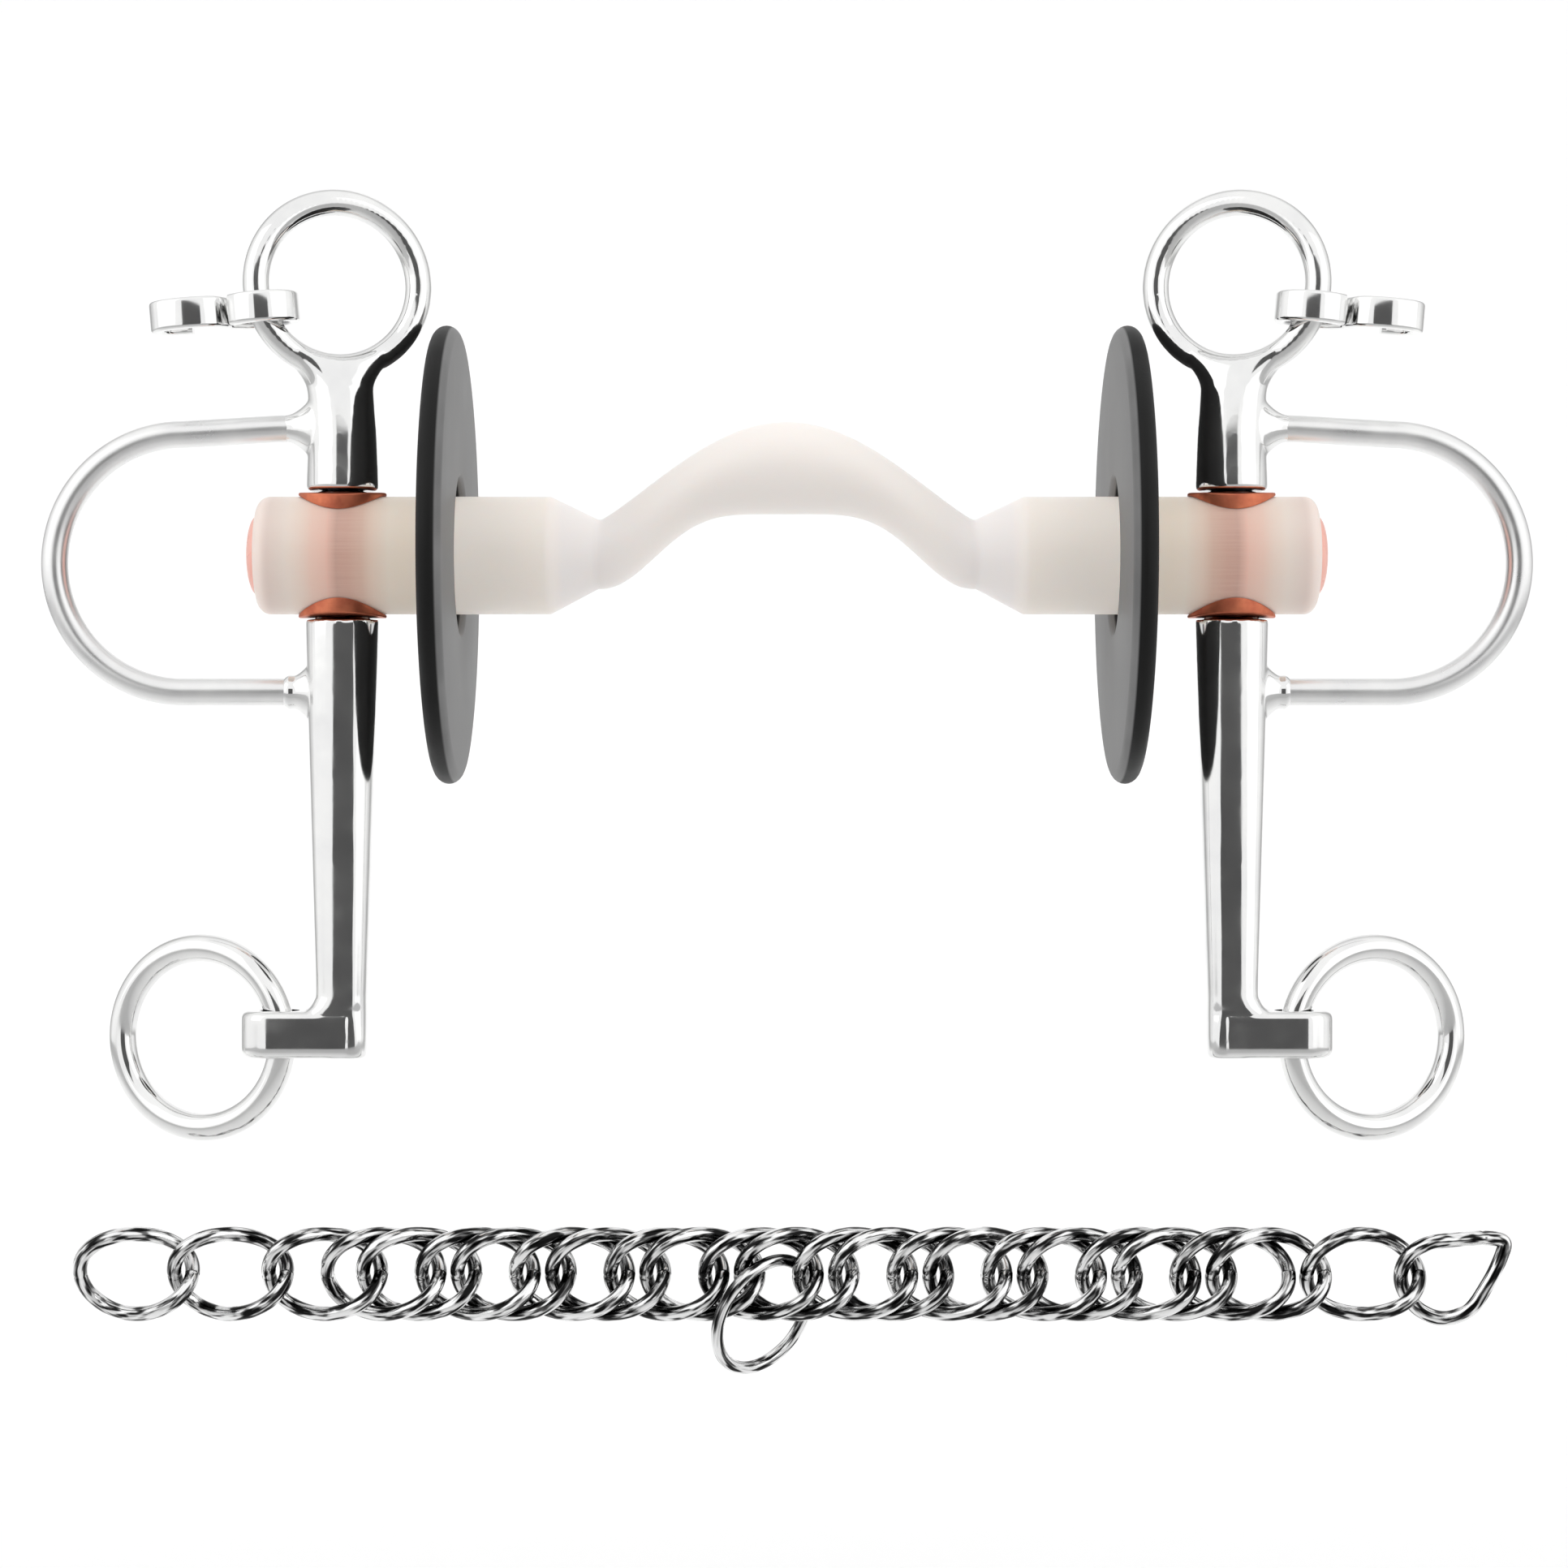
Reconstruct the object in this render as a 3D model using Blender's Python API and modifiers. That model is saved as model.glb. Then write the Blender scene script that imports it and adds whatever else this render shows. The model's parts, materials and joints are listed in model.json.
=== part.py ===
"""A curb bit with snaffle loops and its curb chain, upright as worn.

X runs along the mouthpiece, Z up towards the headstall, and the origin is the middle of the mouthpiece on the
axis of its cheek ends. The left half is the one at minus X.
"""

import math

import bmesh
import bpy
from mathutils import Matrix, Vector

MM = 0.001
SIDES = ((-1, "left"), (1, "right"))

# Mouthpiece bar
BAR_RADIUS = 9.65 * MM
BAR_END_X = 86.8 * MM
BAR_CHAMFER_X = 84.8 * MM
BAR_END_RADIUS = 7.6 * MM
SHOULDER_X = 39.0 * MM
NECK_X = 30.5 * MM
NECK_TOP_Z = 5.9 * MM
NECK_UNDER_Z = -5.5 * MM
NECK_HALF_DEPTH = 5.9 * MM
PORT_TOP_Z = 21.9 * MM
PORT_UNDER_Z = 6.8 * MM
PORT_HALF_DEPTH = 8.2 * MM
PORT_STEPS = 14
BAR_SIDES = 32

# Cheek axis, pin, bush and saddle washers
CHEEK_X = 73.0 * MM
PIN_RADIUS = 4.2 * MM
PIN_ROOT = 3.0 * MM
SPIGOT_RADIUS = 3.2 * MM
SOCKET_RADIUS = 3.4 * MM
PIN_SHOULDER_Z = 10.4 * MM
SPIGOT_TOP_Z = 19.0 * MM
SOCKET_TOP_Z = 19.3 * MM
BUSH_BORE = 4.28 * MM
BUSH_RADIUS = 6.0 * MM
BUSH_HOLE_RADIUS = 6.12 * MM
BUSH_HALF_LENGTH = 7.2 * MM
WASHER_RADIUS = 7.2 * MM
WASHER_HOLE = 4.7 * MM
WASHER_SEAT = 9.76 * MM
WASHER_TOP_Z = 10.25 * MM

# End plugs
PLUG_RADIUS = 6.6 * MM
PLUG_RECESS_RADIUS = 6.75 * MM
PLUG_RECESS_DEPTH = 1.6 * MM
PLUG_BACK_GAP = 0.15 * MM
PLUG_RISE = 1.75 * MM

# Upper cheek and eye
CHEEK_BOTTOM_Z = 10.6 * MM
EYE_Z = 44.5 * MM
EYE_OFFSET = 0.8 * MM
EYE_RING_RADIUS = 13.5 * MM
EYE_WIRE = 4.4 * MM
EYE_CUT_INSET = 0.9 * MM
EYE_TURN = math.radians(18)

# Shank, foot and rein ring
SHANK_TOP_Z = -10.55 * MM
SHANK_BOTTOM_Z = -82.4 * MM
FOOT_HEIGHT = 7.7 * MM
FOOT_HALF_DEPTH = 4.7 * MM
FOOT_BEVEL = 0.9 * MM
FOOT_ROOT = 1.0 * MM
FOOT_HOLE_X = 83.3 * MM
FOOT_HOLE_RADIUS = 3.2 * MM
FOOT_TIP_X = 89.6 * MM
REIN_RING_RADIUS = 14.85 * MM
REIN_RING_WIRE = 4.5 * MM
REIN_RING_Z = -79.5 * MM
REIN_RING_TURN = math.radians(20)
REIN_RING_INSET = 0.35 * MM

# Snaffle loop
LOOP_WIRE = 4.4 * MM
LOOP_TOP_Z = 20.9 * MM
LOOP_BOTTOM_Z = -22.4 * MM
LOOP_DROP = 1.0 * MM
LOOP_OUTER_X = 122.5 * MM
WELD_REACH = 9.6 * MM
WELD_FLARE = 3.4 * MM
WELD_FLATNESS = 0.35
WELD_ROOT = 2.0 * MM
WELD_GAP = 0.1 * MM

# Curb hook
HOOK_Z = 39.9 * MM
HOOK_HEIGHT = 5.0 * MM
HOOK_BAND = 2.0 * MM
HOOK_TILT = math.radians(5)
HOOK_EYE_HALF_WIDTH = 5.3 * MM
HOOK_EYE_HALF_DEPTH = 4.6 * MM
HOOK_BEND = (  # plan points of the open bend in millimetres, outward and towards the back
    (5.7, 1.2), (6.3, -0.6), (7.6, -2.7), (10.2, -3.8), (13.4, -3.8), (16.2, -2.5), (17.1, 0.0),
    (16.0, 2.6), (13.4, 3.7), (11.8, 3.7),
)

# Bit guards
GUARD_X = 55.5 * MM
GUARD_RADIUS = 37.5 * MM
GUARD_HOLE = 12.8 * MM
GUARD_HALF_THICKNESS = 2.0 * MM

# Curb chain and fly ring
CHAIN_Z = -118.0 * MM
CHAIN_START_X = -106.9 * MM
CHAIN_PITCH = 15.5 * MM
CHAIN_MAIN_LINKS = 14
BESIDE_OFFSET = 5.9 * MM
BESIDE_FIRST = 3
BESIDE_LAST = 12
FLY_LINK = 7
LINK_WIRE = 2.4 * MM
LINK_HALF_LENGTH = 9.3 * MM
LINK_HALF_HEIGHT = 6.55 * MM
LINK_TWIST = 3.1 * MM
LINK_PEAR = 0.12
LINK_POINTS = 16
END_LINK_X = 109.4 * MM
END_LINK_OUTLINE = (
    (-8.5, 0.5, 0.0), (-7.2, 3.6, 1.9), (-4.2, 5.3, 2.2), (0.0, 5.7, 1.0), (5.0, 5.9, 0.2), (8.2, 5.3, 0.0),
    (7.9, 3.0, 0.2), (5.6, -1.5, 0.6), (2.6, -5.8, 0.4), (-1.5, -7.4, -0.6), (-5.3, -6.1, -1.8), (-7.9, -2.8, -1.5),
)
FLY_RING_CENTRE = (-3.88 * MM, 1.77 * MM, -124.84 * MM)
FLY_RING_HINGE = (-1.0 * MM, 0.0, -124.84 * MM)
FLY_RING_RADIUS = 9.81 * MM
FLY_RING_WIRE = 2.5 * MM
FLY_RING_TURN = math.radians(43.2)
FLY_RING_LEAN = math.radians(20.9)

# Colours: base colour, roughness, metallic
STEEL = ((0.80, 0.80, 0.80, 1.0), 0.12, 1.0)
DARK_STEEL = ((0.45, 0.45, 0.45, 1.0), 0.18, 1.0)
COPPER = ((0.78, 0.36, 0.24, 1.0), 0.35, 1.0)
RUBBER = ((0.22, 0.22, 0.22, 1.0), 0.6, 0.0)
PLASTIC = ((0.86, 0.80, 0.75, 1.0), 0.45, 0.0)


def new_collection(name):
    collection = bpy.data.collections.new(name)
    bpy.context.scene.collection.children.link(collection)
    return collection


def material(name, look):
    colour, roughness, metallic = look
    made = bpy.data.materials.new(name)
    made.use_nodes = True
    shader = made.node_tree.nodes["Principled BSDF"]
    shader.inputs["Base Color"].default_value = colour
    shader.inputs["Roughness"].default_value = roughness
    shader.inputs["Metallic"].default_value = metallic
    return made


def add_part(name, mesh, look):
    """One named part with its own material, at the world's origin."""
    part = bpy.data.objects.new(name, mesh)
    if not mesh.materials:
        mesh.materials.append(None)
    PARTS.objects.link(part)
    part.material_slots[0].link = "OBJECT"
    part.material_slots[0].material = material(name + "_look", look)
    return part


def add_cutter(name, mesh):
    cutter = bpy.data.objects.new(name, mesh)
    cutter.hide_render = True
    cutter.display_type = "WIRE"
    CUTTERS.objects.link(cutter)
    return cutter


def add_pivot(name, at):
    """An empty on a joint's axis, which the joint's moving pieces hang from."""
    pivot = bpy.data.objects.new(name, None)
    pivot.empty_display_size = 5 * MM
    PARTS.objects.link(pivot)
    pivot.location = at
    return pivot


def place_of(thing):
    return thing.location + (place_of(thing.parent) if thing.parent else Vector((0, 0, 0)))


def hang(child, parent):
    """Parent child to an unturned pivot and keep its place."""
    child.location = child.location - place_of(parent)
    child.parent = parent


def baked(thing):
    """The evaluated mesh of an object, which is removed."""
    depsgraph = bpy.context.evaluated_depsgraph_get()
    mesh = bpy.data.meshes.new_from_object(thing.evaluated_get(depsgraph))
    mesh.transform(thing.matrix_world)
    bpy.data.objects.remove(thing)
    return mesh


def mesh_from(name, bm):
    """A mesh from bm with its faces outward."""
    bmesh.ops.recalc_face_normals(bm, faces=bm.faces)
    if bm.calc_volume(signed=True) < 0:
        bmesh.ops.reverse_faces(bm, faces=bm.faces)
    mesh = bpy.data.meshes.new(name)
    bm.to_mesh(mesh)
    bm.free()
    return mesh


def cylinder(name, radius, start, end, sides=32):
    """A solid cylinder between two points."""
    run = Vector(end) - Vector(start)
    bm = bmesh.new()
    bmesh.ops.create_cone(bm, cap_ends=True, segments=sides, radius1=radius, radius2=radius, depth=run.length)
    turn = run.to_track_quat("Z", "Y").to_matrix().to_4x4()
    bm.transform(Matrix.Translation((Vector(start) + Vector(end)) / 2) @ turn)
    return mesh_from(name, bm)


def loft(name, rings):
    """A solid skinned over rings of equal point counts, with flat ends: sections as unlike as these have no tool."""
    bm = bmesh.new()
    rows = [[bm.verts.new(point) for point in ring] for ring in rings]
    for low, high in zip(rows, rows[1:]):
        for here in range(len(low)):
            after = (here + 1) % len(low)
            bm.faces.new((low[here], low[after], high[after], high[here]))
    bm.faces.new(rows[0])
    bm.faces.new(rows[-1])
    return mesh_from(name, bm)


def turned(name, profile, steps):
    """A body of revolution about Z from a closed profile of (radius, height) with the Screw modifier."""
    count = len(profile)
    mesh = bpy.data.meshes.new(name)
    edges = [(here, (here + 1) % count) for here in range(count)]
    mesh.from_pydata([(radius, 0, height) for radius, height in profile], edges, [])
    maker = bpy.data.objects.new(name, mesh)
    PARTS.objects.link(maker)
    screw = maker.modifiers.new("turn", "SCREW")
    screw.axis = "Z"
    screw.steps = steps
    screw.render_steps = steps
    screw.use_merge_vertices = True
    screw.merge_threshold = 0.00001
    made = baked(maker)
    bm = bmesh.new()
    bm.from_mesh(made)
    return mesh_from(name, bm)


def wire(name, points, diameter, closed=True, resolution=2):
    """A round wire along points."""
    curve = bpy.data.curves.new(name, "CURVE")
    curve.dimensions = "3D"
    curve.bevel_depth = diameter / 2
    curve.bevel_resolution = resolution
    curve.use_fill_caps = not closed
    spline = curve.splines.new("POLY")
    spline.points.add(len(points) - 1)
    for index, point in enumerate(points):
        spline.points[index].co = (*point, 1)
    spline.use_cyclic_u = closed
    maker = bpy.data.objects.new(name, curve)
    PARTS.objects.link(maker)
    mesh = baked(maker)
    bm = bmesh.new()
    bm.from_mesh(mesh)
    bmesh.ops.remove_doubles(bm, verts=bm.verts, dist=0.01 * MM)
    return mesh_from(name, bm)


def boolean(target, mesh, operation):
    cutter = add_cutter(target.name + "_tool_" + str(len(target.modifiers)), mesh)
    change = target.modifiers.new(cutter.name, "BOOLEAN")
    change.operation = operation
    change.solver = "EXACT"
    change.object = cutter


def circle(radius, count, centre=(0, 0, 0)):
    """Points of a circle in the XZ plane."""
    spots = []
    for step in range(count):
        angle = math.tau * step / count
        spots.append(Vector((radius * math.cos(angle), 0, radius * math.sin(angle))) + Vector(centre))
    return spots


def rounded_section(centre_x, z, half_x, half_y, squareness, turn=0.0, sides=20):
    """A level section between an ellipse (2) and a rectangle (large), turned about the cheek's axis."""
    ring = []
    for step in range(sides):
        angle = math.tau * (step + 0.5) / sides
        along = abs(math.cos(angle)) ** (2 / squareness) * math.copysign(half_x, math.cos(angle))
        across = abs(math.sin(angle)) ** (2 / squareness) * math.copysign(half_y, math.sin(angle))
        x = along * math.cos(turn) - across * math.sin(turn)
        y = along * math.sin(turn) + across * math.cos(turn)
        ring.append((centre_x + x, y, z))
    return ring


def port_section(x):
    """Half height, middle height and half depth of the arched port at a distance x from the middle."""
    rise = 0.5 + 0.5 * math.cos(math.pi * min(abs(x) / NECK_X, 1))
    top = NECK_TOP_Z + (PORT_TOP_Z - NECK_TOP_Z) * rise ** 0.57
    under = NECK_UNDER_Z + (PORT_UNDER_Z - NECK_UNDER_Z) * (1 - (1 - rise) ** 2.6)
    depth = NECK_HALF_DEPTH + (PORT_HALF_DEPTH - NECK_HALF_DEPTH) * rise
    return (top - under) / 2, (top + under) / 2, depth


def bar_rings():
    """The bar's sections from its left end to its right end."""
    half = [
        (BAR_END_X, BAR_END_RADIUS, 0.0, BAR_END_RADIUS),
        (BAR_CHAMFER_X, BAR_RADIUS, 0.0, BAR_RADIUS),
        (SHOULDER_X, BAR_RADIUS, 0.0, BAR_RADIUS),
    ]
    for step in range(PORT_STEPS):
        x = NECK_X * (1 - step / PORT_STEPS)
        height, middle, depth = port_section(x)
        half.append((x, height, middle, depth))
    whole = [(-x, height, middle, depth) for x, height, middle, depth in half]
    whole.append((0.0, *port_section(0)))
    whole += reversed(half)
    rings = []
    for x, height, middle, depth in whole:
        angles = [math.tau * step / BAR_SIDES for step in range(BAR_SIDES)]
        rings.append([(x, depth * math.cos(a), middle + height * math.sin(a)) for a in angles])
    return rings


def make_bar():
    bar = add_part("mouthpiece_bar", loft("mouthpiece_bar", bar_rings()), PLASTIC)
    for side, name in SIDES:
        hole = cylinder(name + "_hole", BUSH_HOLE_RADIUS, (side * CHEEK_X, 0, -2 * BAR_RADIUS),
                        (side * CHEEK_X, 0, 2 * BAR_RADIUS))
        boolean(bar, hole, "DIFFERENCE")
        recess = cylinder(name + "_recess", PLUG_RECESS_RADIUS, (side * (BAR_END_X - PLUG_RECESS_DEPTH), 0, 0),
                          (side * (BAR_END_X + PLUG_RECESS_DEPTH), 0, 0))
        boolean(bar, recess, "DIFFERENCE")


def make_bushes():
    profile = [(BUSH_BORE, BUSH_HALF_LENGTH), (BUSH_RADIUS, BUSH_HALF_LENGTH),
               (BUSH_RADIUS, -BUSH_HALF_LENGTH), (BUSH_BORE, -BUSH_HALF_LENGTH)]
    mesh = turned("cheek_bush", profile, 32)
    for side, name in SIDES:
        bush = add_part(name + "_cheek_bush", mesh, COPPER)
        bush.location = (side * CHEEK_X, 0, 0)


def saddle_washer_mesh():
    """A round washer, flat for the cheek above and hollowed below to the bar's cylinder."""
    blank = cylinder("saddle_washer", WASHER_RADIUS, (0, 0, WASHER_SEAT / 2), (0, 0, WASHER_TOP_Z), 28)
    maker = bpy.data.objects.new("saddle_washer", blank)
    PARTS.objects.link(maker)
    reach = 2 * WASHER_RADIUS
    seat = cylinder("seat", WASHER_SEAT, (-reach, 0, 0), (reach, 0, 0), 48)
    hole = cylinder("hole", WASHER_HOLE, (0, 0, 0), (0, 0, 2 * WASHER_TOP_Z), 28)
    boolean(maker, seat, "DIFFERENCE")
    boolean(maker, hole, "DIFFERENCE")
    return baked(maker)


def make_washers():
    mesh = saddle_washer_mesh()
    for side, name in SIDES:
        for turn, level in ((0.0, "upper"), (math.pi, "lower")):
            washer = add_part(name + "_" + level + "_saddle_washer", mesh, COPPER)
            washer.location = (side * CHEEK_X, 0, 0)
            washer.rotation_euler = (turn, 0, 0)


def make_plugs():
    back = BAR_END_X - PLUG_RECESS_DEPTH + PLUG_BACK_GAP
    face = BAR_END_X
    profile = [(0, face + PLUG_RISE), (0.45 * PLUG_RADIUS, face + 0.88 * PLUG_RISE),
               (0.8 * PLUG_RADIUS, face + 0.5 * PLUG_RISE), (PLUG_RADIUS, face), (PLUG_RADIUS, back), (0, back)]
    mesh = turned("end_plug", profile, 32)
    for side, name in SIDES:
        plug = add_part(name + "_end_plug", mesh, COPPER)
        plug.rotation_euler = (0, side * math.pi / 2, 0)


def weld_fillet(side, z):
    """The weld's filleted root on a cheek, from inside the stem out to the loop's wire."""
    root_reach = WELD_REACH - 1.4 * WELD_FLARE
    stations = [(WELD_ROOT, LOOP_WIRE / 2 + WELD_FLARE)]
    for step in range(6):
        share = step / 5
        stations.append((root_reach + (WELD_REACH - root_reach) * share,
                         LOOP_WIRE / 2 + WELD_FLARE * (1 - share) ** 2))
    rings = []
    for reach, radius in stations:
        half_depth = LOOP_WIRE / 2 + (radius - LOOP_WIRE / 2) * WELD_FLATNESS
        angles = [math.tau * step / 16 for step in range(16)]
        rings.append([(side * (CHEEK_X + reach), half_depth * math.sin(a), z + radius * math.cos(a)) for a in angles])
    return loft("weld", rings)


def eye_centre(side):
    return Vector((side * (CHEEK_X + EYE_OFFSET), 0, EYE_Z))


def make_eye_piece(side, name, pivot):
    """The upper cheek: a round stem that flattens and forks into the headstall eye."""
    turn = -side * EYE_TURN
    sections = (  # height, half width, half depth, squareness, share of the eye's turn
        (CHEEK_BOTTOM_Z, 5.4, 5.4, 2.0, 0.0), (CHEEK_BOTTOM_Z + 0.5 * MM, 5.9, 5.8, 2.0, 0.0),
        (20.0 * MM, 5.6, 5.3, 2.0, 0.0), (26.0 * MM, 5.45, 4.7, 2.1, 0.3), (28.4 * MM, 5.8, 4.2, 2.2, 0.6),
        (30.9 * MM, 7.4, 3.5, 2.3, 0.85), (34.0 * MM, 10.4, 2.6, 2.4, 1.0), (37.6 * MM, 13.1, 2.1, 2.4, 1.0),
    )
    rings = []
    for z, half_x, half_y, squareness, share in sections:
        shift = side * EYE_OFFSET * share
        rings.append(rounded_section(side * CHEEK_X + shift, z, half_x * MM, half_y * MM, squareness, turn * share))
    piece = add_part(name + "_eye_piece", loft(name + "_eye_piece", rings), STEEL)
    centre = eye_centre(side)
    facing = Matrix.Rotation(turn, 3, "Z") @ Vector((0, 1, 0))
    reach = EYE_RING_RADIUS * facing
    boolean(piece, cylinder("eye", EYE_RING_RADIUS - EYE_CUT_INSET, centre - reach, centre + reach, 36), "DIFFERENCE")
    ring = wire("eye_ring", circle(EYE_RING_RADIUS, 36), EYE_WIRE)
    ring.transform(Matrix.Translation(centre) @ Matrix.Rotation(turn, 4, "Z"))
    boolean(piece, ring, "UNION")
    boolean(piece, weld_fillet(side, LOOP_TOP_Z), "UNION")
    boolean(piece, cylinder("socket", SOCKET_RADIUS, (side * CHEEK_X, 0, 0), (side * CHEEK_X, 0, SOCKET_TOP_Z), 28),
            "DIFFERENCE")
    hang_mesh(piece, pivot)


def foot_rings(side):
    """The foot's plan, a bar with a round tip, at the heights of its edges."""
    low, high = SHANK_BOTTOM_Z, SHANK_BOTTOM_Z + FOOT_HEIGHT
    root_x = CHEEK_X - FOOT_ROOT
    rings = []
    for z, inset in ((low, FOOT_BEVEL), (low + FOOT_BEVEL, 0), (high - FOOT_BEVEL, 0), (high, FOOT_BEVEL)):
        half = FOOT_HALF_DEPTH - inset
        centre = FOOT_TIP_X - FOOT_HALF_DEPTH
        ring = [(side * root_x, half, z), (side * root_x, -half, z)]
        for step in range(9):
            angle = -math.pi / 2 + math.pi * step / 8
            ring.append((side * (centre + half * math.cos(angle)), half * math.sin(angle), z))
        rings.append(ring)
    return rings


def make_shank(side, name, pivot):
    """The lower cheek: a tapered shank with a pin above and an outward foot below."""
    sections = (  # height, half width, half depth, squareness, outward shift
        (SHANK_BOTTOM_Z, 3.4, 3.8, 4.0, 0.0), (SHANK_BOTTOM_Z + 0.8 * MM, 4.1, 4.5, 4.0, 0.0),
        (-75.5 * MM, 5.3, 4.5, 3.6, 1.2), (-74.0 * MM, 4.7, 4.5, 3.4, 0.5), (-71.5 * MM, 4.3, 4.5, 3.2, 0.1),
        (-40.0 * MM, 5.15, 5.0, 2.8, 0.0), (SHANK_TOP_Z - 0.6 * MM, 5.95, 5.6, 2.5, 0.0),
        (SHANK_TOP_Z, 5.4, 5.1, 2.5, 0.0),
    )
    rings = []
    for z, half_x, half_y, squareness, shift in sections:
        rings.append(rounded_section(side * (CHEEK_X + shift * MM), z, half_x * MM, half_y * MM, squareness))
    shank = add_part(name + "_shank", loft(name + "_shank", rings), STEEL)
    axis_x = side * CHEEK_X
    boolean(shank, loft("foot", foot_rings(side)), "UNION")
    pin_foot_z = SHANK_TOP_Z - PIN_ROOT
    boolean(shank, cylinder("pin", PIN_RADIUS, (axis_x, 0, pin_foot_z), (axis_x, 0, PIN_SHOULDER_Z)), "UNION")
    boolean(shank, cylinder("spigot", SPIGOT_RADIUS, (axis_x, 0, 0), (axis_x, 0, SPIGOT_TOP_Z), 24), "UNION")
    boolean(shank, weld_fillet(side, LOOP_BOTTOM_Z), "UNION")
    hole_x = side * FOOT_HOLE_X
    hole = cylinder("hole", FOOT_HOLE_RADIUS, (hole_x, 0, SHANK_BOTTOM_Z - FOOT_HEIGHT),
                    (hole_x, 0, SHANK_BOTTOM_Z + 2 * FOOT_HEIGHT), 24)
    boolean(shank, hole, "DIFFERENCE")
    hang_mesh(shank, pivot)


def hang_mesh(thing, pivot):
    """Bake a part's tools, and put its origin on the pivot it hangs from."""
    at = place_of(pivot)
    name, look = thing.name, thing.material_slots[0].material
    mesh = baked(thing)
    mesh.transform(Matrix.Translation(-at))
    mesh.name = name
    part = bpy.data.objects.new(name, mesh)
    PARTS.objects.link(part)
    mesh.materials.clear()
    mesh.materials.append(look)
    part.location = at
    hang(part, pivot)


def make_loop(side, name, pivot):
    """The welded D of wire between the eye piece and the shank."""
    bow_top = LOOP_TOP_Z - LOOP_DROP
    bow = (bow_top - LOOP_BOTTOM_Z) / 2
    middle_z = (bow_top + LOOP_BOTTOM_Z) / 2
    bow_x = LOOP_OUTER_X - LOOP_WIRE / 2 - bow
    start_x = CHEEK_X + WELD_REACH + WELD_GAP
    points = [(start_x, LOOP_TOP_Z), (start_x + LOOP_DROP, LOOP_TOP_Z)]
    steps = 18
    for step in range(steps + 1):
        angle = math.pi / 2 - math.pi * step / steps
        points.append((bow_x + bow * math.cos(angle), middle_z + bow * math.sin(angle)))
    points.append((start_x, LOOP_BOTTOM_Z))
    mesh = wire(name + "_snaffle_loop", [(side * x, 0, z) for x, z in points], LOOP_WIRE, False)
    loop = add_part(name + "_snaffle_loop", mesh, STEEL)
    hang_mesh(loop, pivot)


def make_rein_ring(side, name, cheek):
    pivot = add_pivot(name + "_rein_ring_axis", (side * FOOT_HOLE_X, 0, REIN_RING_Z))
    hang(pivot, cheek)
    out = REIN_RING_RADIUS - REIN_RING_INSET
    mesh = wire(name + "_rein_ring", circle(REIN_RING_RADIUS, 32, (out, 0, 0)), REIN_RING_WIRE)
    ring = add_part(name + "_rein_ring", mesh, STEEL)
    ring.location = place_of(pivot)
    ring.rotation_euler = (0, 0, REIN_RING_TURN if side > 0 else math.pi - REIN_RING_TURN)
    hang(ring, pivot)


def hook_path():
    """The hook's plan: a closed eye about the origin, then an S into an open bend at plus X."""
    corners = []
    for degrees in range(-36, -325, -24):
        angle = math.radians(degrees)
        corners.append(Vector((HOOK_EYE_HALF_WIDTH * math.cos(angle), HOOK_EYE_HALF_DEPTH * math.sin(angle))))
    corners += [Vector((out * MM, back * MM)) for out, back in HOOK_BEND]
    return smooth_path(corners, 2)


def smooth_path(corners, steps):
    """An open Catmull-Rom curve through the corners."""
    last = len(corners) - 1
    points = []
    for index in range(last):
        p0, p1, p2, p3 = (corners[min(max(index + shift, 0), last)] for shift in (-1, 0, 1, 2))
        for step in range(steps):
            points.append(catmull_rom(p0, p1, p2, p3, step / steps))
    points.append(corners[last])
    return points


def catmull_rom(p0, p1, p2, p3, t):
    return 0.5 * (2 * p1 + (p2 - p0) * t + (2 * p0 - 5 * p1 + 4 * p2 - p3) * t ** 2
                  + (3 * p1 - p0 - 3 * p2 + p3) * t ** 3)


def band_outline(path, thickness):
    """Both edges of a band of this thickness along a plan path."""
    left, right = [], []
    for index, point in enumerate(path):
        before = path[max(index - 1, 0)]
        after = path[min(index + 1, len(path) - 1)]
        along = (after - before).normalized()
        across = Vector((-along.y, along.x)) * thickness / 2
        left.append(point + across)
        right.append(point - across)
    return left + right[::-1]


def eye_wire_at_hook(side):
    """Where the eye's outer wire passes through the hook's level."""
    drop = HOOK_Z - EYE_Z
    out = math.sqrt(EYE_RING_RADIUS ** 2 - drop ** 2)
    turn = -side * EYE_TURN
    return eye_centre(side) + Vector((side * out * math.cos(turn), side * out * math.sin(turn), drop))


def make_hook(side, name, cheek):
    at = eye_wire_at_hook(side)
    pivot = add_pivot(name + "_curb_hook_axis", at)
    hang(pivot, cheek)
    outline = band_outline(hook_path(), HOOK_BAND)
    half = HOOK_HEIGHT / 2
    rings = [[(side * point.x, point.y, z) for point in outline] for z in (-half, half)]
    hook = add_part(name + "_curb_hook", loft(name + "_curb_hook", rings), STEEL)
    hook.location = place_of(pivot)
    hook.rotation_euler = (0, side * HOOK_TILT, 0)
    hang(hook, pivot)


def make_guard(side, name):
    pivot = add_pivot(name + "_guard_axis", (side * GUARD_X, 0, 0))
    half = GUARD_HALF_THICKNESS
    soft = 0.8 * MM
    profile = [(GUARD_HOLE, half - soft), (GUARD_HOLE + soft, half), (GUARD_RADIUS - half, half),
               (GUARD_RADIUS - 0.3 * half, 0.7 * half), (GUARD_RADIUS, 0),
               (GUARD_RADIUS - 0.3 * half, -0.7 * half), (GUARD_RADIUS - half, -half),
               (GUARD_HOLE + soft, -half), (GUARD_HOLE, soft - half)]
    guard = add_part(name + "_bit_guard", turned(name + "_bit_guard", profile, 40), RUBBER)
    guard.location = place_of(pivot)
    guard.rotation_euler = (0, math.pi / 2, 0)
    hang(guard, pivot)


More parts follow.
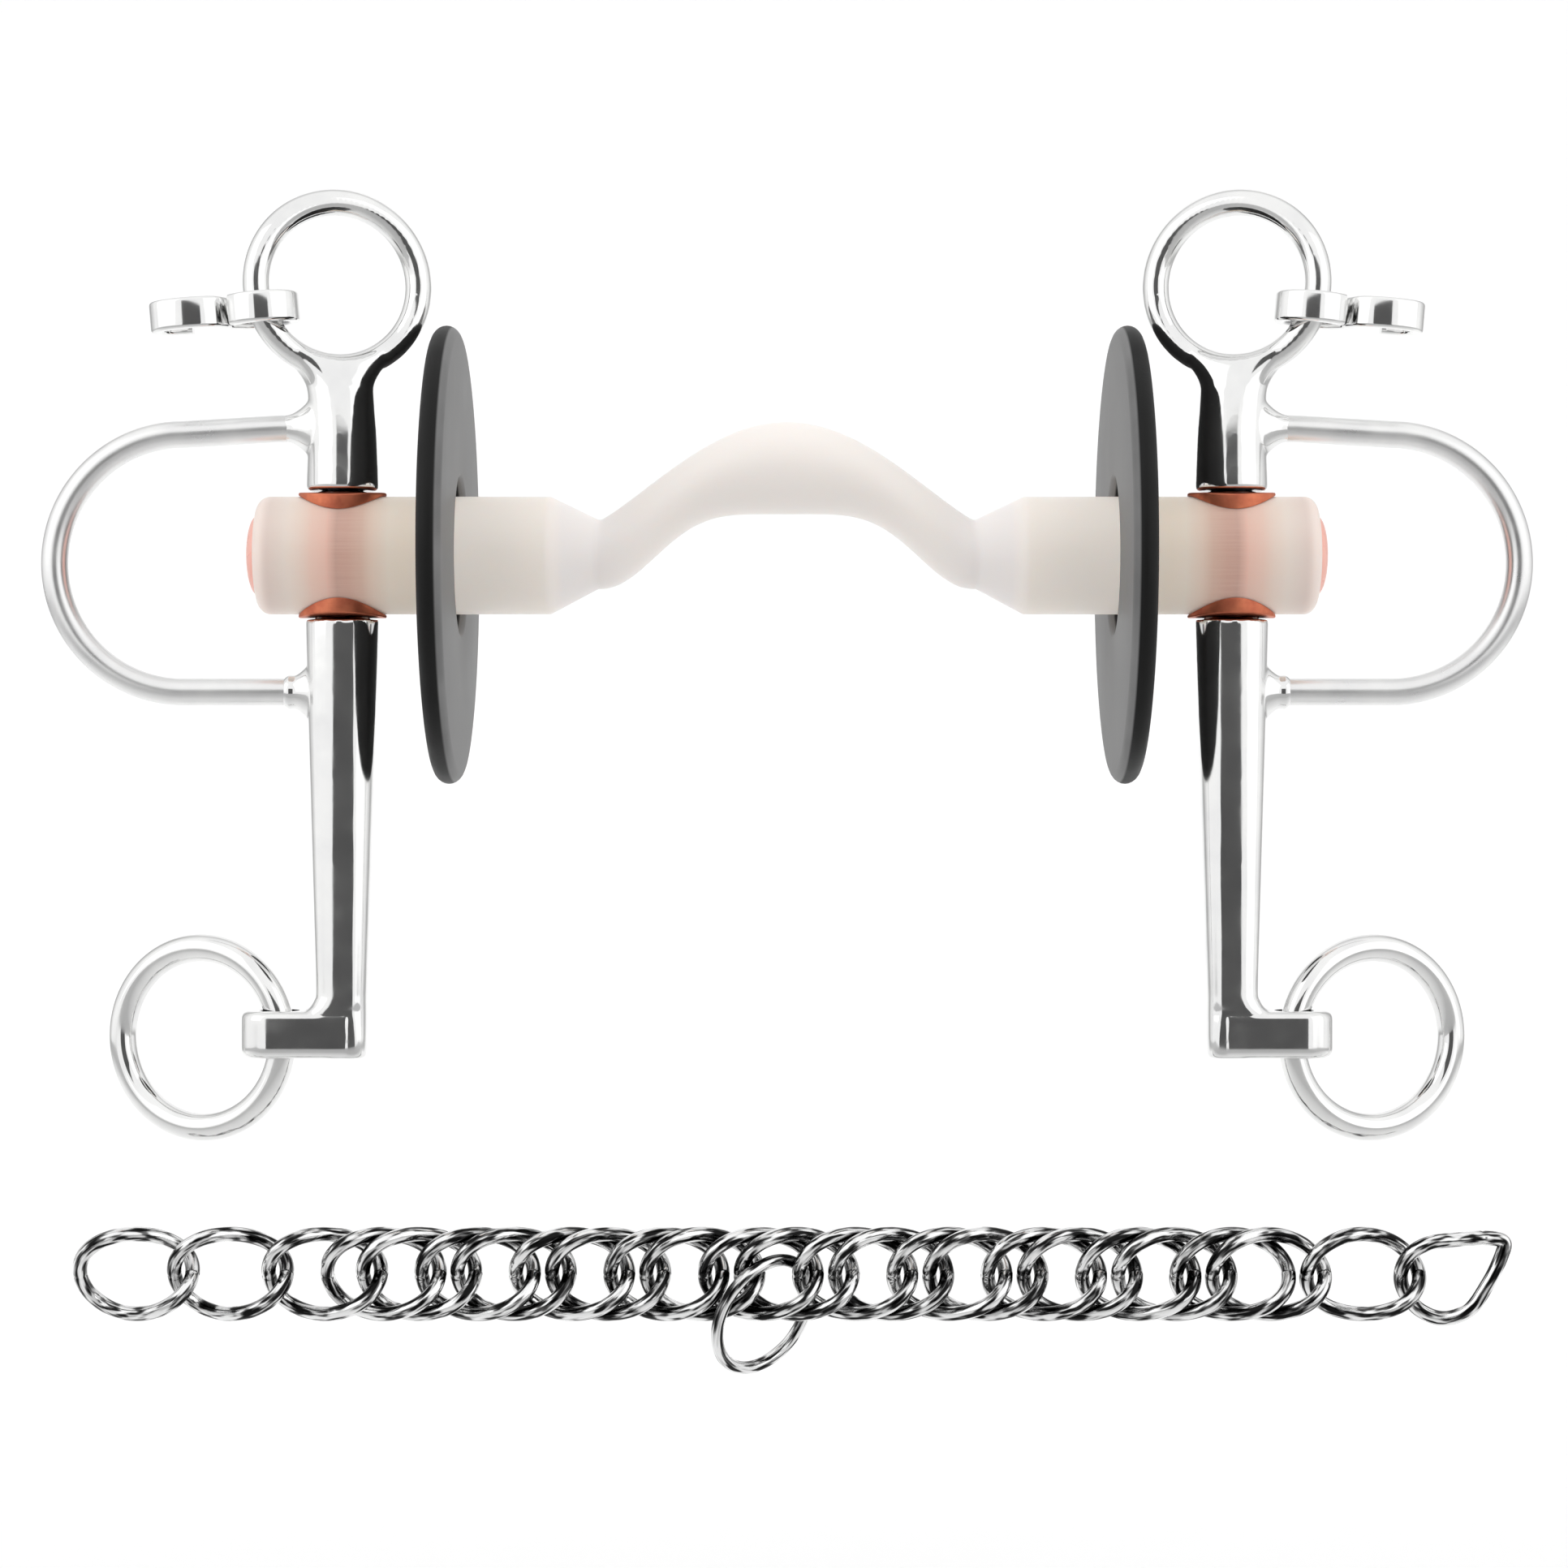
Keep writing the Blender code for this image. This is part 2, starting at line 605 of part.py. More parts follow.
def twisted_link_points():
    points = []
    for step in range(LINK_POINTS):
        angle = math.tau * step / LINK_POINTS
        height = LINK_HALF_HEIGHT * math.sin(angle) * (1 - LINK_PEAR * math.cos(angle))
        points.append((LINK_HALF_LENGTH * math.cos(angle), LINK_TWIST * math.sin(2 * angle), height))
    return points


def smooth_loop(corners, steps):
    """A closed Catmull-Rom curve through the corners."""
    points = []
    count = len(corners)
    for index in range(count):
        p0, p1, p2, p3 = (Vector(corners[(index + shift) % count]) for shift in (-1, 0, 1, 2))
        for step in range(steps):
            points.append(catmull_rom(p0, p1, p2, p3, step / steps))
    return points


def link_x(number):
    return CHAIN_START_X + number * CHAIN_PITCH


def add_link(name, mesh, x, pivot):
    link = add_part(name, mesh, DARK_STEEL)
    link.location = (x, 0, CHAIN_Z)
    hang(link, pivot)


def make_chain():
    """Links outward from the fly link, each body hinged to the one nearer the middle."""
    mesh = wire("chain_link", twisted_link_points(), LINK_WIRE, resolution=1)
    outline = [(x * MM, -near * MM, z * MM) for x, z, near in END_LINK_OUTLINE]
    end_mesh = wire("chain_end_link", smooth_loop(outline, 2), LINK_WIRE, resolution=1)
    middle = add_pivot("chain_lift_axis", (link_x(FLY_LINK), 0, CHAIN_Z))
    pivots = {FLY_LINK: middle}
    order = [*range(FLY_LINK + 1, CHAIN_MAIN_LINKS + 1), *range(FLY_LINK - 1, -1, -1)]
    for number in order:
        inner = number - 1 if number > FLY_LINK else number + 1
        pivots[number] = add_pivot("chain_hinge_" + str(number + 1),
                                   ((link_x(number) + link_x(inner)) / 2, 0, CHAIN_Z))
        hang(pivots[number], pivots[inner])
    for number in range(CHAIN_MAIN_LINKS):
        add_link("chain_link_" + str(number + 1), mesh, link_x(number), pivots[number])
        if BESIDE_FIRST <= number <= BESIDE_LAST:
            add_link("chain_beside_link_" + str(number + 1), mesh, link_x(number) - BESIDE_OFFSET, pivots[number])
    add_link("chain_end_link", end_mesh, END_LINK_X, pivots[CHAIN_MAIN_LINKS])
    make_fly_ring(middle)


def make_fly_ring(middle):
    pivot = add_pivot("fly_ring_axis", FLY_RING_HINGE)
    hang(pivot, middle)
    mesh = wire("fly_ring", circle(FLY_RING_RADIUS, 24), FLY_RING_WIRE, resolution=1)
    ring = add_part("fly_ring", mesh, DARK_STEEL)
    ring.location = FLY_RING_CENTRE
    ring.rotation_euler = (FLY_RING_LEAN, 0, FLY_RING_TURN)
    hang(ring, pivot)


def make_cheeks():
    for side, name in SIDES:
        pivot = add_pivot(name + "_cheek_axis", (side * CHEEK_X, 0, 0))
        make_eye_piece(side, name, pivot)
        make_shank(side, name, pivot)
        make_loop(side, name, pivot)
        make_rein_ring(side, name, pivot)
        make_hook(side, name, pivot)


def shade():
    for part in PARTS.objects:
        if part.type == "MESH":
            part.data.shade_smooth()
            part.data.set_sharp_from_angle(angle=math.radians(35))


for old in list(bpy.data.objects):
    bpy.data.objects.remove(old)

PARTS = new_collection("curb_bit")
CUTTERS = new_collection("cutters")
make_bar()
make_bushes()
make_washers()
make_plugs()
make_cheeks()
for guard_side, guard_name in SIDES:
    make_guard(guard_side, guard_name)
make_chain()
shade()
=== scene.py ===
"""The curb bit's looks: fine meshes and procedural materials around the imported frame, and a plain studio."""

import json
import math

import bmesh
import bpy
from mathutils import Matrix, Vector


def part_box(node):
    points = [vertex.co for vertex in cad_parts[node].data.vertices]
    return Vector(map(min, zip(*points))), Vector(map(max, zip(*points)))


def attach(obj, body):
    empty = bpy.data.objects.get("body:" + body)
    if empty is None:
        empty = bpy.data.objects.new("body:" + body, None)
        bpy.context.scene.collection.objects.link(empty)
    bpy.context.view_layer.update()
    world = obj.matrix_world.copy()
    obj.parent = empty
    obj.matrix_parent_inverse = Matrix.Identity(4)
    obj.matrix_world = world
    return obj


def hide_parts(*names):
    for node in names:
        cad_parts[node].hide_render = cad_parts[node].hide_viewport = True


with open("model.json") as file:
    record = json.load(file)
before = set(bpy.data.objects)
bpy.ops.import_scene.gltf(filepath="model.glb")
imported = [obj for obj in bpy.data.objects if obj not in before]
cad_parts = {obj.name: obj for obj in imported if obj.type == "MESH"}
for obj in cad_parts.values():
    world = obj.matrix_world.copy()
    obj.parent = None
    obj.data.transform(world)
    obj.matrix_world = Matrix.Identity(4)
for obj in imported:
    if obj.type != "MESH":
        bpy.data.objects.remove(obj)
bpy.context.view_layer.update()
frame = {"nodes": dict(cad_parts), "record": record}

MM = 0.001
X, Y, Z = Vector((1, 0, 0)), Vector((0, 1, 0)), Vector((0, 0, 1))
SIDES = ((-1, "left"), (1, "right"))

# Sizes that the frame's boxes don't give, the same as the solids have

# Mouthpiece
SHOULDER_X = 39.0 * MM
NECK_X = 30.5 * MM
NECK_TOP_Z = 5.9 * MM
NECK_UNDER_Z = -5.5 * MM
NECK_HALF_DEPTH = 5.9 * MM
PORT_UNDER_Z = 6.8 * MM
PORT_HALF_DEPTH = 8.2 * MM
PORT_TOP_FULLNESS = 0.57
PORT_UNDER_FULLNESS = 2.6
BAR_CHAMFER = 2.0 * MM
BUSH_GAP = 0.12 * MM
PLUG_RECESS_RADIUS = 6.75 * MM
PLUG_RECESS_DEPTH = 1.6 * MM
PLUG_DOME_FULLNESS = 0.8
WASHER_HOLE = 4.7 * MM
WASHER_GAP = 0.1 * MM
WASHER_EDGE = 0.22 * MM
WASHER_DEPTH_SHARE = 0.92
WASHER_DIP = 0.75 * MM

# Cheeks
EYE_WIRE = 4.4 * MM
EYE_RING_RADIUS = 13.5 * MM
EYE_OFFSET = 0.8 * MM
EYE_CUT_INSET = 0.9 * MM
EYE_TURN = math.radians(18)
PIN_RADIUS = 4.2 * MM
PIN_ROOT_Z = -14 * MM
PIN_SHOULDER_Z = 10.4 * MM
PIN_STEP = 0.01 * MM
SPIGOT_RADIUS = 3.2 * MM
FOOT_HEIGHT = 7.7 * MM
FOOT_HALF_DEPTH = 4.7 * MM
FOOT_EDGE = 1.3 * MM
FOOT_ROOT = 1 * MM
FOOT_HOLE_RADIUS = 3.2 * MM
FOOT_HOLE_INSET = 6.3 * MM
LOOP_WIRE = 4.4 * MM
LOOP_DROP = 1.0 * MM
LOOP_INSET = 1.2 * MM
WELD_ROOT = 2 * MM
WELD_REACH = 9.6 * MM
WELD_FLARE = 3.4 * MM
WELD_FLATNESS = 0.35
WELD_BEAD = 0.55 * MM
REIN_RING_WIRE = 4.5 * MM
REIN_RING_TURN = math.radians(20)
HOOK_BAND = 2.0 * MM
HOOK_HALF_HEIGHT = 2.5 * MM
HOOK_EDGE = 0.6 * MM
HOOK_TILT = math.radians(5)
HOOK_EYE_HALF_WIDTH = 5.3 * MM
HOOK_EYE_HALF_DEPTH = 4.6 * MM

# Guards
GUARD_HOLE = 12.8 * MM
GUARD_HOLE_EDGE = 0.8 * MM

# Chain
LINK_WIRE = 2.4 * MM
LINK_HALF_HEIGHT = 6.55 * MM
LINK_TWIST = 3.1 * MM
LINK_PEAR = 0.12
FLY_RING_WIRE = 2.5 * MM
FLY_RING_SLIMMER = 0.82  # a finer wire than the solid's clears the links beside it at the joints' limits
FLY_RING_RADIUS = 9.81 * MM
FLY_RING_TURN = math.radians(43.2)
FLY_RING_LEAN = math.radians(20.9)
SEAM_DEPTH = 0.10
SEAM_WIDTH = 0.004

# How finely the shapes are divided
BAR_SIDES = 96
PORT_STEPS = 110
PLUG_STEPS = 12
WASHER_STEPS = 144
CHEEK_SIDES = 64
WELD_SIDES = 48
EYE_RING_STEPS = 160
BOW_STEPS = 96
LOOP_STEPS = 13
LOOP_SIDES = 32
REIN_RING_STEPS = 180
REIN_RING_SIDES = 36
GUARD_STEPS = 180
LINK_STEPS = 200
LINK_SIDES = 20
FLY_RING_SIDES = 24
FUSE_VOXEL = 0.28 * MM
SHARP_ANGLE = math.radians(40)

# Colours
GUARD_BLACK = (0.006, 0.006, 0.006)
# painted sheen on the guard's face towards the mouth: grey standing in for the bright studio reflected at a
# grazing angle in black rubber
GUARD_SHEEN_DARK = (0.16, 0.16, 0.16)
GUARD_SHEEN_PALE = (0.25, 0.25, 0.25)
BAR_GLOW = 0.145  # painted glow, standing in for the light that the milky plastic passes on from behind
# the bar's tint along its length, lighter beside the guards as painted light against the shade they cast, and
# a darker band near the end
BAR_TINT_AND_LIGHT = (  # share of the bar's half length, colour
    (0.26, (0.88, 0.83, 0.79)), (0.36, (0.84, 0.80, 0.78)), (0.42, (0.84, 0.80, 0.78)),
    (0.46, (0.95, 0.87, 0.80)),
    (0.62, (0.95, 0.87, 0.80)), (0.71, (0.95, 0.82, 0.69)), (0.93, (0.86, 0.76, 0.68)),
    (0.97, (0.78, 0.66, 0.60)),
    (0.985, (0.86, 0.74, 0.68)),
)
# copper of the bush seen through the plastic, with a painted highlight just outward of its middle and painted
# shade just inward of it
BUSH_TINT_AND_HIGHLIGHT = (  # across the bush from its inner side to its outer side
    (0.1, (0.82, 0.60, 0.48)), (0.38, (0.66, 0.38, 0.30)), (0.5, (0.62, 0.35, 0.28)),
    (0.62, (0.92, 0.57, 0.47)),
    (0.9, (0.88, 0.68, 0.58)),
)

# Places read from the frame
LINKS = sorted(name for name in frame["nodes"] if name.startswith("chain_") and "link" in name)


def middle(node):
    """The middle of a node's box."""
    low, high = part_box(node)
    return (low + high) / 2


def extent(node):
    """The three sides of a node's box."""
    low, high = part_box(node)
    return high - low


BAR_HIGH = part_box("mouthpiece_bar")[1]
BAR_END_X = BAR_HIGH.x
BAR_RADIUS = BAR_HIGH.y
PORT_TOP_Z = BAR_HIGH.z
CHEEK_X = middle("right_cheek_bush").x
BUSH_RADIUS = extent("right_cheek_bush").x / 2
GUARD_X = middle("right_bit_guard").x
GUARD_RADIUS = extent("right_bit_guard").z / 2
GUARD_HALF = extent("right_bit_guard").x / 2


# Mesh tools

def as_object(name, bm):
    """An object made from bm, with its faces outward."""
    bmesh.ops.recalc_face_normals(bm, faces=bm.faces)
    if bm.calc_volume(signed=True) < 0:
        bmesh.ops.reverse_faces(bm, faces=bm.faces)
    mesh = bpy.data.meshes.new(name)
    bm.to_mesh(mesh)
    bm.free()
    made = bpy.data.objects.new(name, mesh)
    bpy.context.scene.collection.objects.link(made)
    return made


def finished(name, bm, body, node, look):
    """An object made from bm that rides a body and stands for a node."""
    piece = as_object(name, bm)
    piece.data.materials.append(look)
    piece.data.shade_smooth()
    piece.data.set_sharp_from_angle(angle=SHARP_ANGLE)
    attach(piece, body)
    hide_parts(node)
    return piece


def centre_on(bm, node):
    """Shift bm so that its box is centred on a node's box."""
    low = Vector([min(v.co[axis] for v in bm.verts) for axis in range(3)])
    high = Vector([max(v.co[axis] for v in bm.verts) for axis in range(3)])
    shift = middle(node) - (low + high) / 2
    bmesh.ops.translate(bm, verts=bm.verts, vec=shift)


def skin(bm, rings, closed):
    """Skin over rings of equal counts, with a UV map that runs u around and v along."""
    uv = bm.loops.layers.uv.verify()
    rows = [[bm.verts.new(point) for point in ring] for ring in rings]
    pairs = list(zip(rows, rows[1:]))
    if closed:
        pairs.append((rows[-1], rows[0]))
    count = len(rows[0])
    for step, (low, high) in enumerate(pairs):
        for here in range(count):
            after = (here + 1) % count
            face = bm.faces.new((low[here], low[after], high[after], high[here]))
            for loop, (u, v) in zip(face.loops, ((here, step), (here + 1, step), (here + 1, step + 1),
                                                 (here, step + 1))):
                loop[uv].uv = (u / count, v / len(pairs))
    if not closed:
        bm.faces.new(rows[0])
        bm.faces.new(rows[-1])


def round_section(radius, sides):
    """The outline of a round wire, as pairs."""
    angles = [math.tau * k / sides for k in range(sides)]
    return [(radius * math.cos(angle), radius * math.sin(angle)) for angle in angles]


def swept_rings(points, sections, closed, up):
    """Rings of a section swept along points with a frame that doesn't twist."""
    count = len(points)
    rings = []
    across = None
    for index, point in enumerate(points):
        before = points[index - 1] if closed or index else point
        after = points[(index + 1) % count] if closed or index < count - 1 else point
        along = (after - before).normalized()
        if across is None:
            across = along.cross(up).normalized()
        across = (across - along * across.dot(along)).normalized()
        rise = across.cross(along)
        section = sections[index] if isinstance(sections[0], list) else sections
        rings.append([point + across * a + rise * b for a, b in section])
    return rings


def ellipse_ring(centre, half_a, half_b, axis_a, axis_b, sides, squareness=2.0):
    """A closed ring of points: an ellipse, or a rounder or squarer one if squareness isn't 2."""
    ring = []
    for step in range(sides):
        angle = math.tau * (step + 0.5) / sides
        a = abs(math.cos(angle)) ** (2 / squareness) * math.copysign(half_a, math.cos(angle))
        b = abs(math.sin(angle)) ** (2 / squareness) * math.copysign(half_b, math.sin(angle))
        ring.append(centre + axis_a * a + axis_b * b)
    return ring


def turned_rings(profile, centre, axis, steps):
    """Rings of a closed profile of (radius, along) turned about an axis, one ring for each angle."""
    side = axis.orthogonal().normalized()
    other = axis.cross(side)
    rings = []
    for step in range(steps):
        angle = math.tau * step / steps
        out = side * math.cos(angle) + other * math.sin(angle)
        rings.append([centre + out * radius + axis * along for radius, along in profile])
    return rings


def circle_points(centre, radius, axis_a, axis_b, count):
    """Points round a circle in the plane of two axes."""
    return [centre + axis_a * radius * math.cos(math.tau * k / count)
            + axis_b * radius * math.sin(math.tau * k / count) for k in range(count)]


def rounded(corners, reach, steps=4):
    """A closed 2D outline with each corner rounded off, reach along both its edges."""
    outline = []
    count = len(corners)
    for index in range(count):
        here = Vector(corners[index])
        before = Vector(corners[index - 1]) - here
        after = Vector(corners[(index + 1) % count]) - here
        start = here + before.normalized() * min(reach, before.length * 0.49)
        end = here + after.normalized() * min(reach, after.length * 0.49)
        for step in range(steps + 1):
            t = step / steps
            outline.append(tuple(start.lerp(here, t).lerp(here.lerp(end, t), t)))
    return outline


def catmull_rom(p0, p1, p2, p3, t):
    """The point at share t between p1 and p2 of a smooth curve through all four."""
    return 0.5 * (2 * p1 + (p2 - p0) * t + (2 * p0 - 5 * p1 + 4 * p2 - p3) * t ** 2
                  + (3 * p1 - p0 - 3 * p2 + p3) * t ** 3)


def smooth_steps(table, count):
    """A table of rows resampled with a Catmull-Rom curve, count steps to each gap."""
    rows = [Vector(row[:3]) for row in table]
    extra = [Vector((*row[3:], 0, 0)[:3]) for row in table]
    made = []
    last = len(table) - 1
    for index in range(last):
        for step in range(count + (index == last - 1)):
            t = step / count
            values = []
            for source in (rows, extra):
                p0, p1, p2, p3 = (source[min(max(index + k, 0), last)] for k in (-1, 0, 1, 2))
                values += list(catmull_rom(p0, p1, p2, p3, t))
            made.append(values)
    return made


# Materials

class Look:
    """A material's node tree with short ways to add nodes."""

    def __init__(self, name, roughness, metallic):
        self.material = bpy.data.materials.new(name)
        self.material.use_nodes = True
        self.tree = self.material.node_tree
        self.shader = self.tree.nodes["Principled BSDF"]
        self.shader.inputs["Roughness"].default_value = roughness
        self.shader.inputs["Metallic"].default_value = metallic
        self.place = self.tree.nodes.new("ShaderNodeTexCoord")

    def link(self, source, target):
        """Join an output to an input."""
        self.tree.links.new(source, target)

    def stretched(self, scale):
        """Object coordinates scaled along each axis."""
        node = self.tree.nodes.new("ShaderNodeMapping")
        node.inputs["Scale"].default_value = scale
        self.link(self.place.outputs["Object"], node.inputs["Vector"])
        return node.outputs["Vector"]

    def noise(self, scale, detail, vector=None):
        """Cloudy noise over object coordinates or another vector."""
        node = self.tree.nodes.new("ShaderNodeTexNoise")
        node.inputs["Scale"].default_value = scale
        node.inputs["Detail"].default_value = detail
        self.link(vector or self.place.outputs["Object"], node.inputs["Vector"])
        return node.outputs["Fac"]

    def ramp(self, value, stops):
        """Value through a colour ramp with stops of (position, colour)."""
        node = self.tree.nodes.new("ShaderNodeValToRGB")
        elements = node.color_ramp.elements
        while len(elements) < len(stops):
            elements.new(0.5)
        for element, (position, colour) in zip(elements, stops):
            element.position = position
            element.color = (*colour, 1.0)
        self.link(value, node.inputs["Fac"])
        return node.outputs["Color"]

    def span(self, value, low, high):
        """A noise, which mostly lies between 0.3 and 0.7, mapped to low to high."""
        node = self.tree.nodes.new("ShaderNodeMapRange")
        node.inputs["From Min"].default_value = 0.3
        node.inputs["From Max"].default_value = 0.7
        node.inputs["To Min"].default_value = low
        node.inputs["To Max"].default_value = high
        self.link(value, node.inputs["Value"])
        return node.outputs["Result"]

    def maths(self, operation, first, second=None):
        """One step of arithmetic on values or numbers."""
        node = self.tree.nodes.new("ShaderNodeMath")
        node.operation = operation
        for socket, value in zip(node.inputs, (first, second)):
            if isinstance(value, (int, float)):
                socket.default_value = value
            elif value is not None:
                self.link(value, socket)
        return node.outputs["Value"]

    def mix(self, factor, first, second, blend="MIX"):
        """Two colours mixed, all first where the factor is 0 and all second where it is 1."""
        node = self.tree.nodes.new("ShaderNodeMix")
        node.data_type = "RGBA"
        node.blend_type = blend
        for socket, value in ((node.inputs[0], factor), (node.inputs[6], first), (node.inputs[7], second)):
            if isinstance(value, (int, float)):
                socket.default_value = value
            elif isinstance(value, tuple):
                socket.default_value = (*value, 1.0)
            else:
                self.link(value, socket)
        return node.outputs[2]

    def bump(self, height, strength, distance):
        """Raise the surface by a height value."""
        node = self.tree.nodes.new("ShaderNodeBump")
        node.inputs["Strength"].default_value = strength
        node.inputs["Distance"].default_value = distance
        self.link(height, node.inputs["Height"])
        self.link(node.outputs["Normal"], self.shader.inputs["Normal"])

    def crevice(self, distance):
        """A mask for painted shade: dark where another surface is nearer than distance, else bright."""
        node = self.tree.nodes.new("ShaderNodeAmbientOcclusion")
        node.inputs["Distance"].default_value = distance
        return node.outputs["AO"]


def steel_look(name, smooth, rough):
    """Stainless steel with faint waviness, smudges and hairlines, painted shade in its crevices, its roughness
    between smooth and rough.
    """
    look = Look(name, smooth, 1.0)
    smudge = look.noise(160, 4.0)
    hairline = look.noise(900, 2.0, look.stretched((1.0, 1.0, 0.06)))
    base = look.ramp(smudge, ((0.3, (0.82, 0.82, 0.82)), (0.7, (0.91, 0.91, 0.90))))
    # painted shade: the base colour darkens to grey where other surfaces are near, in crevices and between
    # parts
    crevice_shade = look.ramp(look.crevice(1.6 * MM), ((0.2, (0.35, 0.35, 0.36)), (0.75, (1, 1, 1))))
    look.link(look.mix(1.0, base, crevice_shade, "MULTIPLY"), look.shader.inputs["Base Color"])
    look.link(look.span(smudge, smooth, rough), look.shader.inputs["Roughness"])
    look.bump(look.mix(0.25, look.noise(230, 1.0), hairline), 0.12, 0.08 * MM)
    return look.material


def chain_look():
    """Bright chain wire with black painted reflection bands along it and painted black shade in the crevices
    between the links.
    """
    look = Look("chain_steel", 0.12, 1.0)
    round_turn, along_stretch, link_to_link = 0.5, 0.7, 22.0
    flat = look.tree.nodes.new("ShaderNodeSeparateXYZ")
    solid = look.tree.nodes.new("ShaderNodeSeparateXYZ")
    join = look.tree.nodes.new("ShaderNodeCombineXYZ")
    look.link(look.place.outputs["UV"], flat.inputs["Vector"])
    look.link(look.place.outputs["Object"], solid.inputs["Vector"])
    along = look.maths("PINGPONG", flat.outputs["Y"], round_turn)
    look.link(look.maths("PINGPONG", flat.outputs["X"], round_turn), join.inputs["X"])
    look.link(look.maths("MULTIPLY", along, along_stretch), join.inputs["Y"])
    look.link(look.maths("MULTIPLY", solid.outputs["X"], link_to_link), join.inputs["Z"])
    # painted reflections: noise stretched along the wire, ramped from black to near white, stands in for the
    # dark and bright reflections running along the polished links
    reflection_bands = look.noise(11.0, 1.5, join.outputs["Vector"])
    mottle = look.noise(700, 3.0)
    base = look.ramp(reflection_bands, ((0.40, (0.012, 0.012, 0.012)), (0.47, (0.16, 0.16, 0.16)),
                              (0.51, (0.62, 0.62, 0.62)),
                              (0.60, (0.93, 0.93, 0.93))))
    # painted shade: near black where the links lie close together
    crevice_shade = look.ramp(look.crevice(2.8 * MM), ((0.4, (0.01, 0.01, 0.01)), (0.9, (1, 1, 1))))
    look.link(look.mix(1.0, base, crevice_shade, "MULTIPLY"), look.shader.inputs["Base Color"])
    look.link(look.span(mottle, 0.08, 0.2), look.shader.inputs["Roughness"])
    look.bump(look.mix(0.5, reflection_bands, mottle), 0.35, 0.12 * MM)
    return look.material


def copper_look():
    """Satin copper with fine turned lines about the vertical, and browner painted shade in its crevices."""
    look = Look("copper", 0.42, 0.75)
    lines = look.noise(1.0, 4.0, look.stretched((180, 180, 5200)))
    tone = look.noise(420, 3.0)
    base = look.ramp(tone, ((0.3, (0.54, 0.14, 0.075)), (0.7, (0.76, 0.235, 0.12))))
    # painted shade: the base colour turns darker and browner where other surfaces are near
    crevice_shade = look.ramp(look.crevice(1.2 * MM), ((0.15, (0.35, 0.22, 0.18)), (0.7, (1, 1, 1))))
    look.link(look.mix(1.0, base, crevice_shade, "MULTIPLY"), look.shader.inputs["Base Color"])
    look.link(look.span(lines, 0.36, 0.5), look.shader.inputs["Roughness"])
    look.bump(lines, 0.18, 0.05 * MM)
    return look.material


def rubber_look():
    """Black rubber with a painted sheen that makes the face towards the mouth matt grey; black on its rim and
    outer face.
    """
    look = Look("guard_rubber", 0.5, 0.0)
    split = look.tree.nodes.new("ShaderNodeSeparateXYZ")
    look.link(look.place.outputs["Object"], split.inputs["Vector"])
    outward = look.maths("SUBTRACT", look.maths("ABSOLUTE", split.outputs["X"]), GUARD_X)
    share = look.maths("ADD", look.maths("DIVIDE", outward, 2 * GUARD_HALF), 0.5)
    grain = look.noise(2200, 4.0)
    cloud = look.noise(60, 3.0)
    # painted sheen: grey clouds on the face towards the mouth, black elsewhere
    face = look.ramp(cloud, ((0.3, GUARD_SHEEN_DARK), (0.7, GUARD_SHEEN_PALE)))
    black = look.ramp(share, ((0.22, (0, 0, 0)), (0.3, (1, 1, 1))))
    look.link(look.mix(black, face, GUARD_BLACK), look.shader.inputs["Base Color"])
    look.shader.inputs["Specular IOR Level"].default_value = 0.22
    look.link(look.span(cloud, 0.42, 0.6), look.shader.inputs["Roughness"])
    look.bump(grain, 0.25, 0.06 * MM)
    return look.material


def plug_look():
    """A copper end plug under clear glaze: an even bright pink, with a painted glow."""
    look = Look("plug_copper", 0.25, 0.0)
    tone = look.noise(120, 2.0)
    base = look.ramp(tone, ((0.3, (0.90, 0.44, 0.37)), (0.7, (0.95, 0.52, 0.44))))
    look.link(base, look.shader.inputs["Base Color"])
    # painted glow: the plug faintly emits its own colour
    look.link(base, look.shader.inputs["Emission Color"])
    look.shader.inputs["Emission Strength"].default_value = 0.12
    look.link(look.span(tone, 0.2, 0.3), look.shader.inputs["Roughness"])
    look.bump(look.noise(700, 2.0), 0.06, 0.04 * MM)
    return look.material


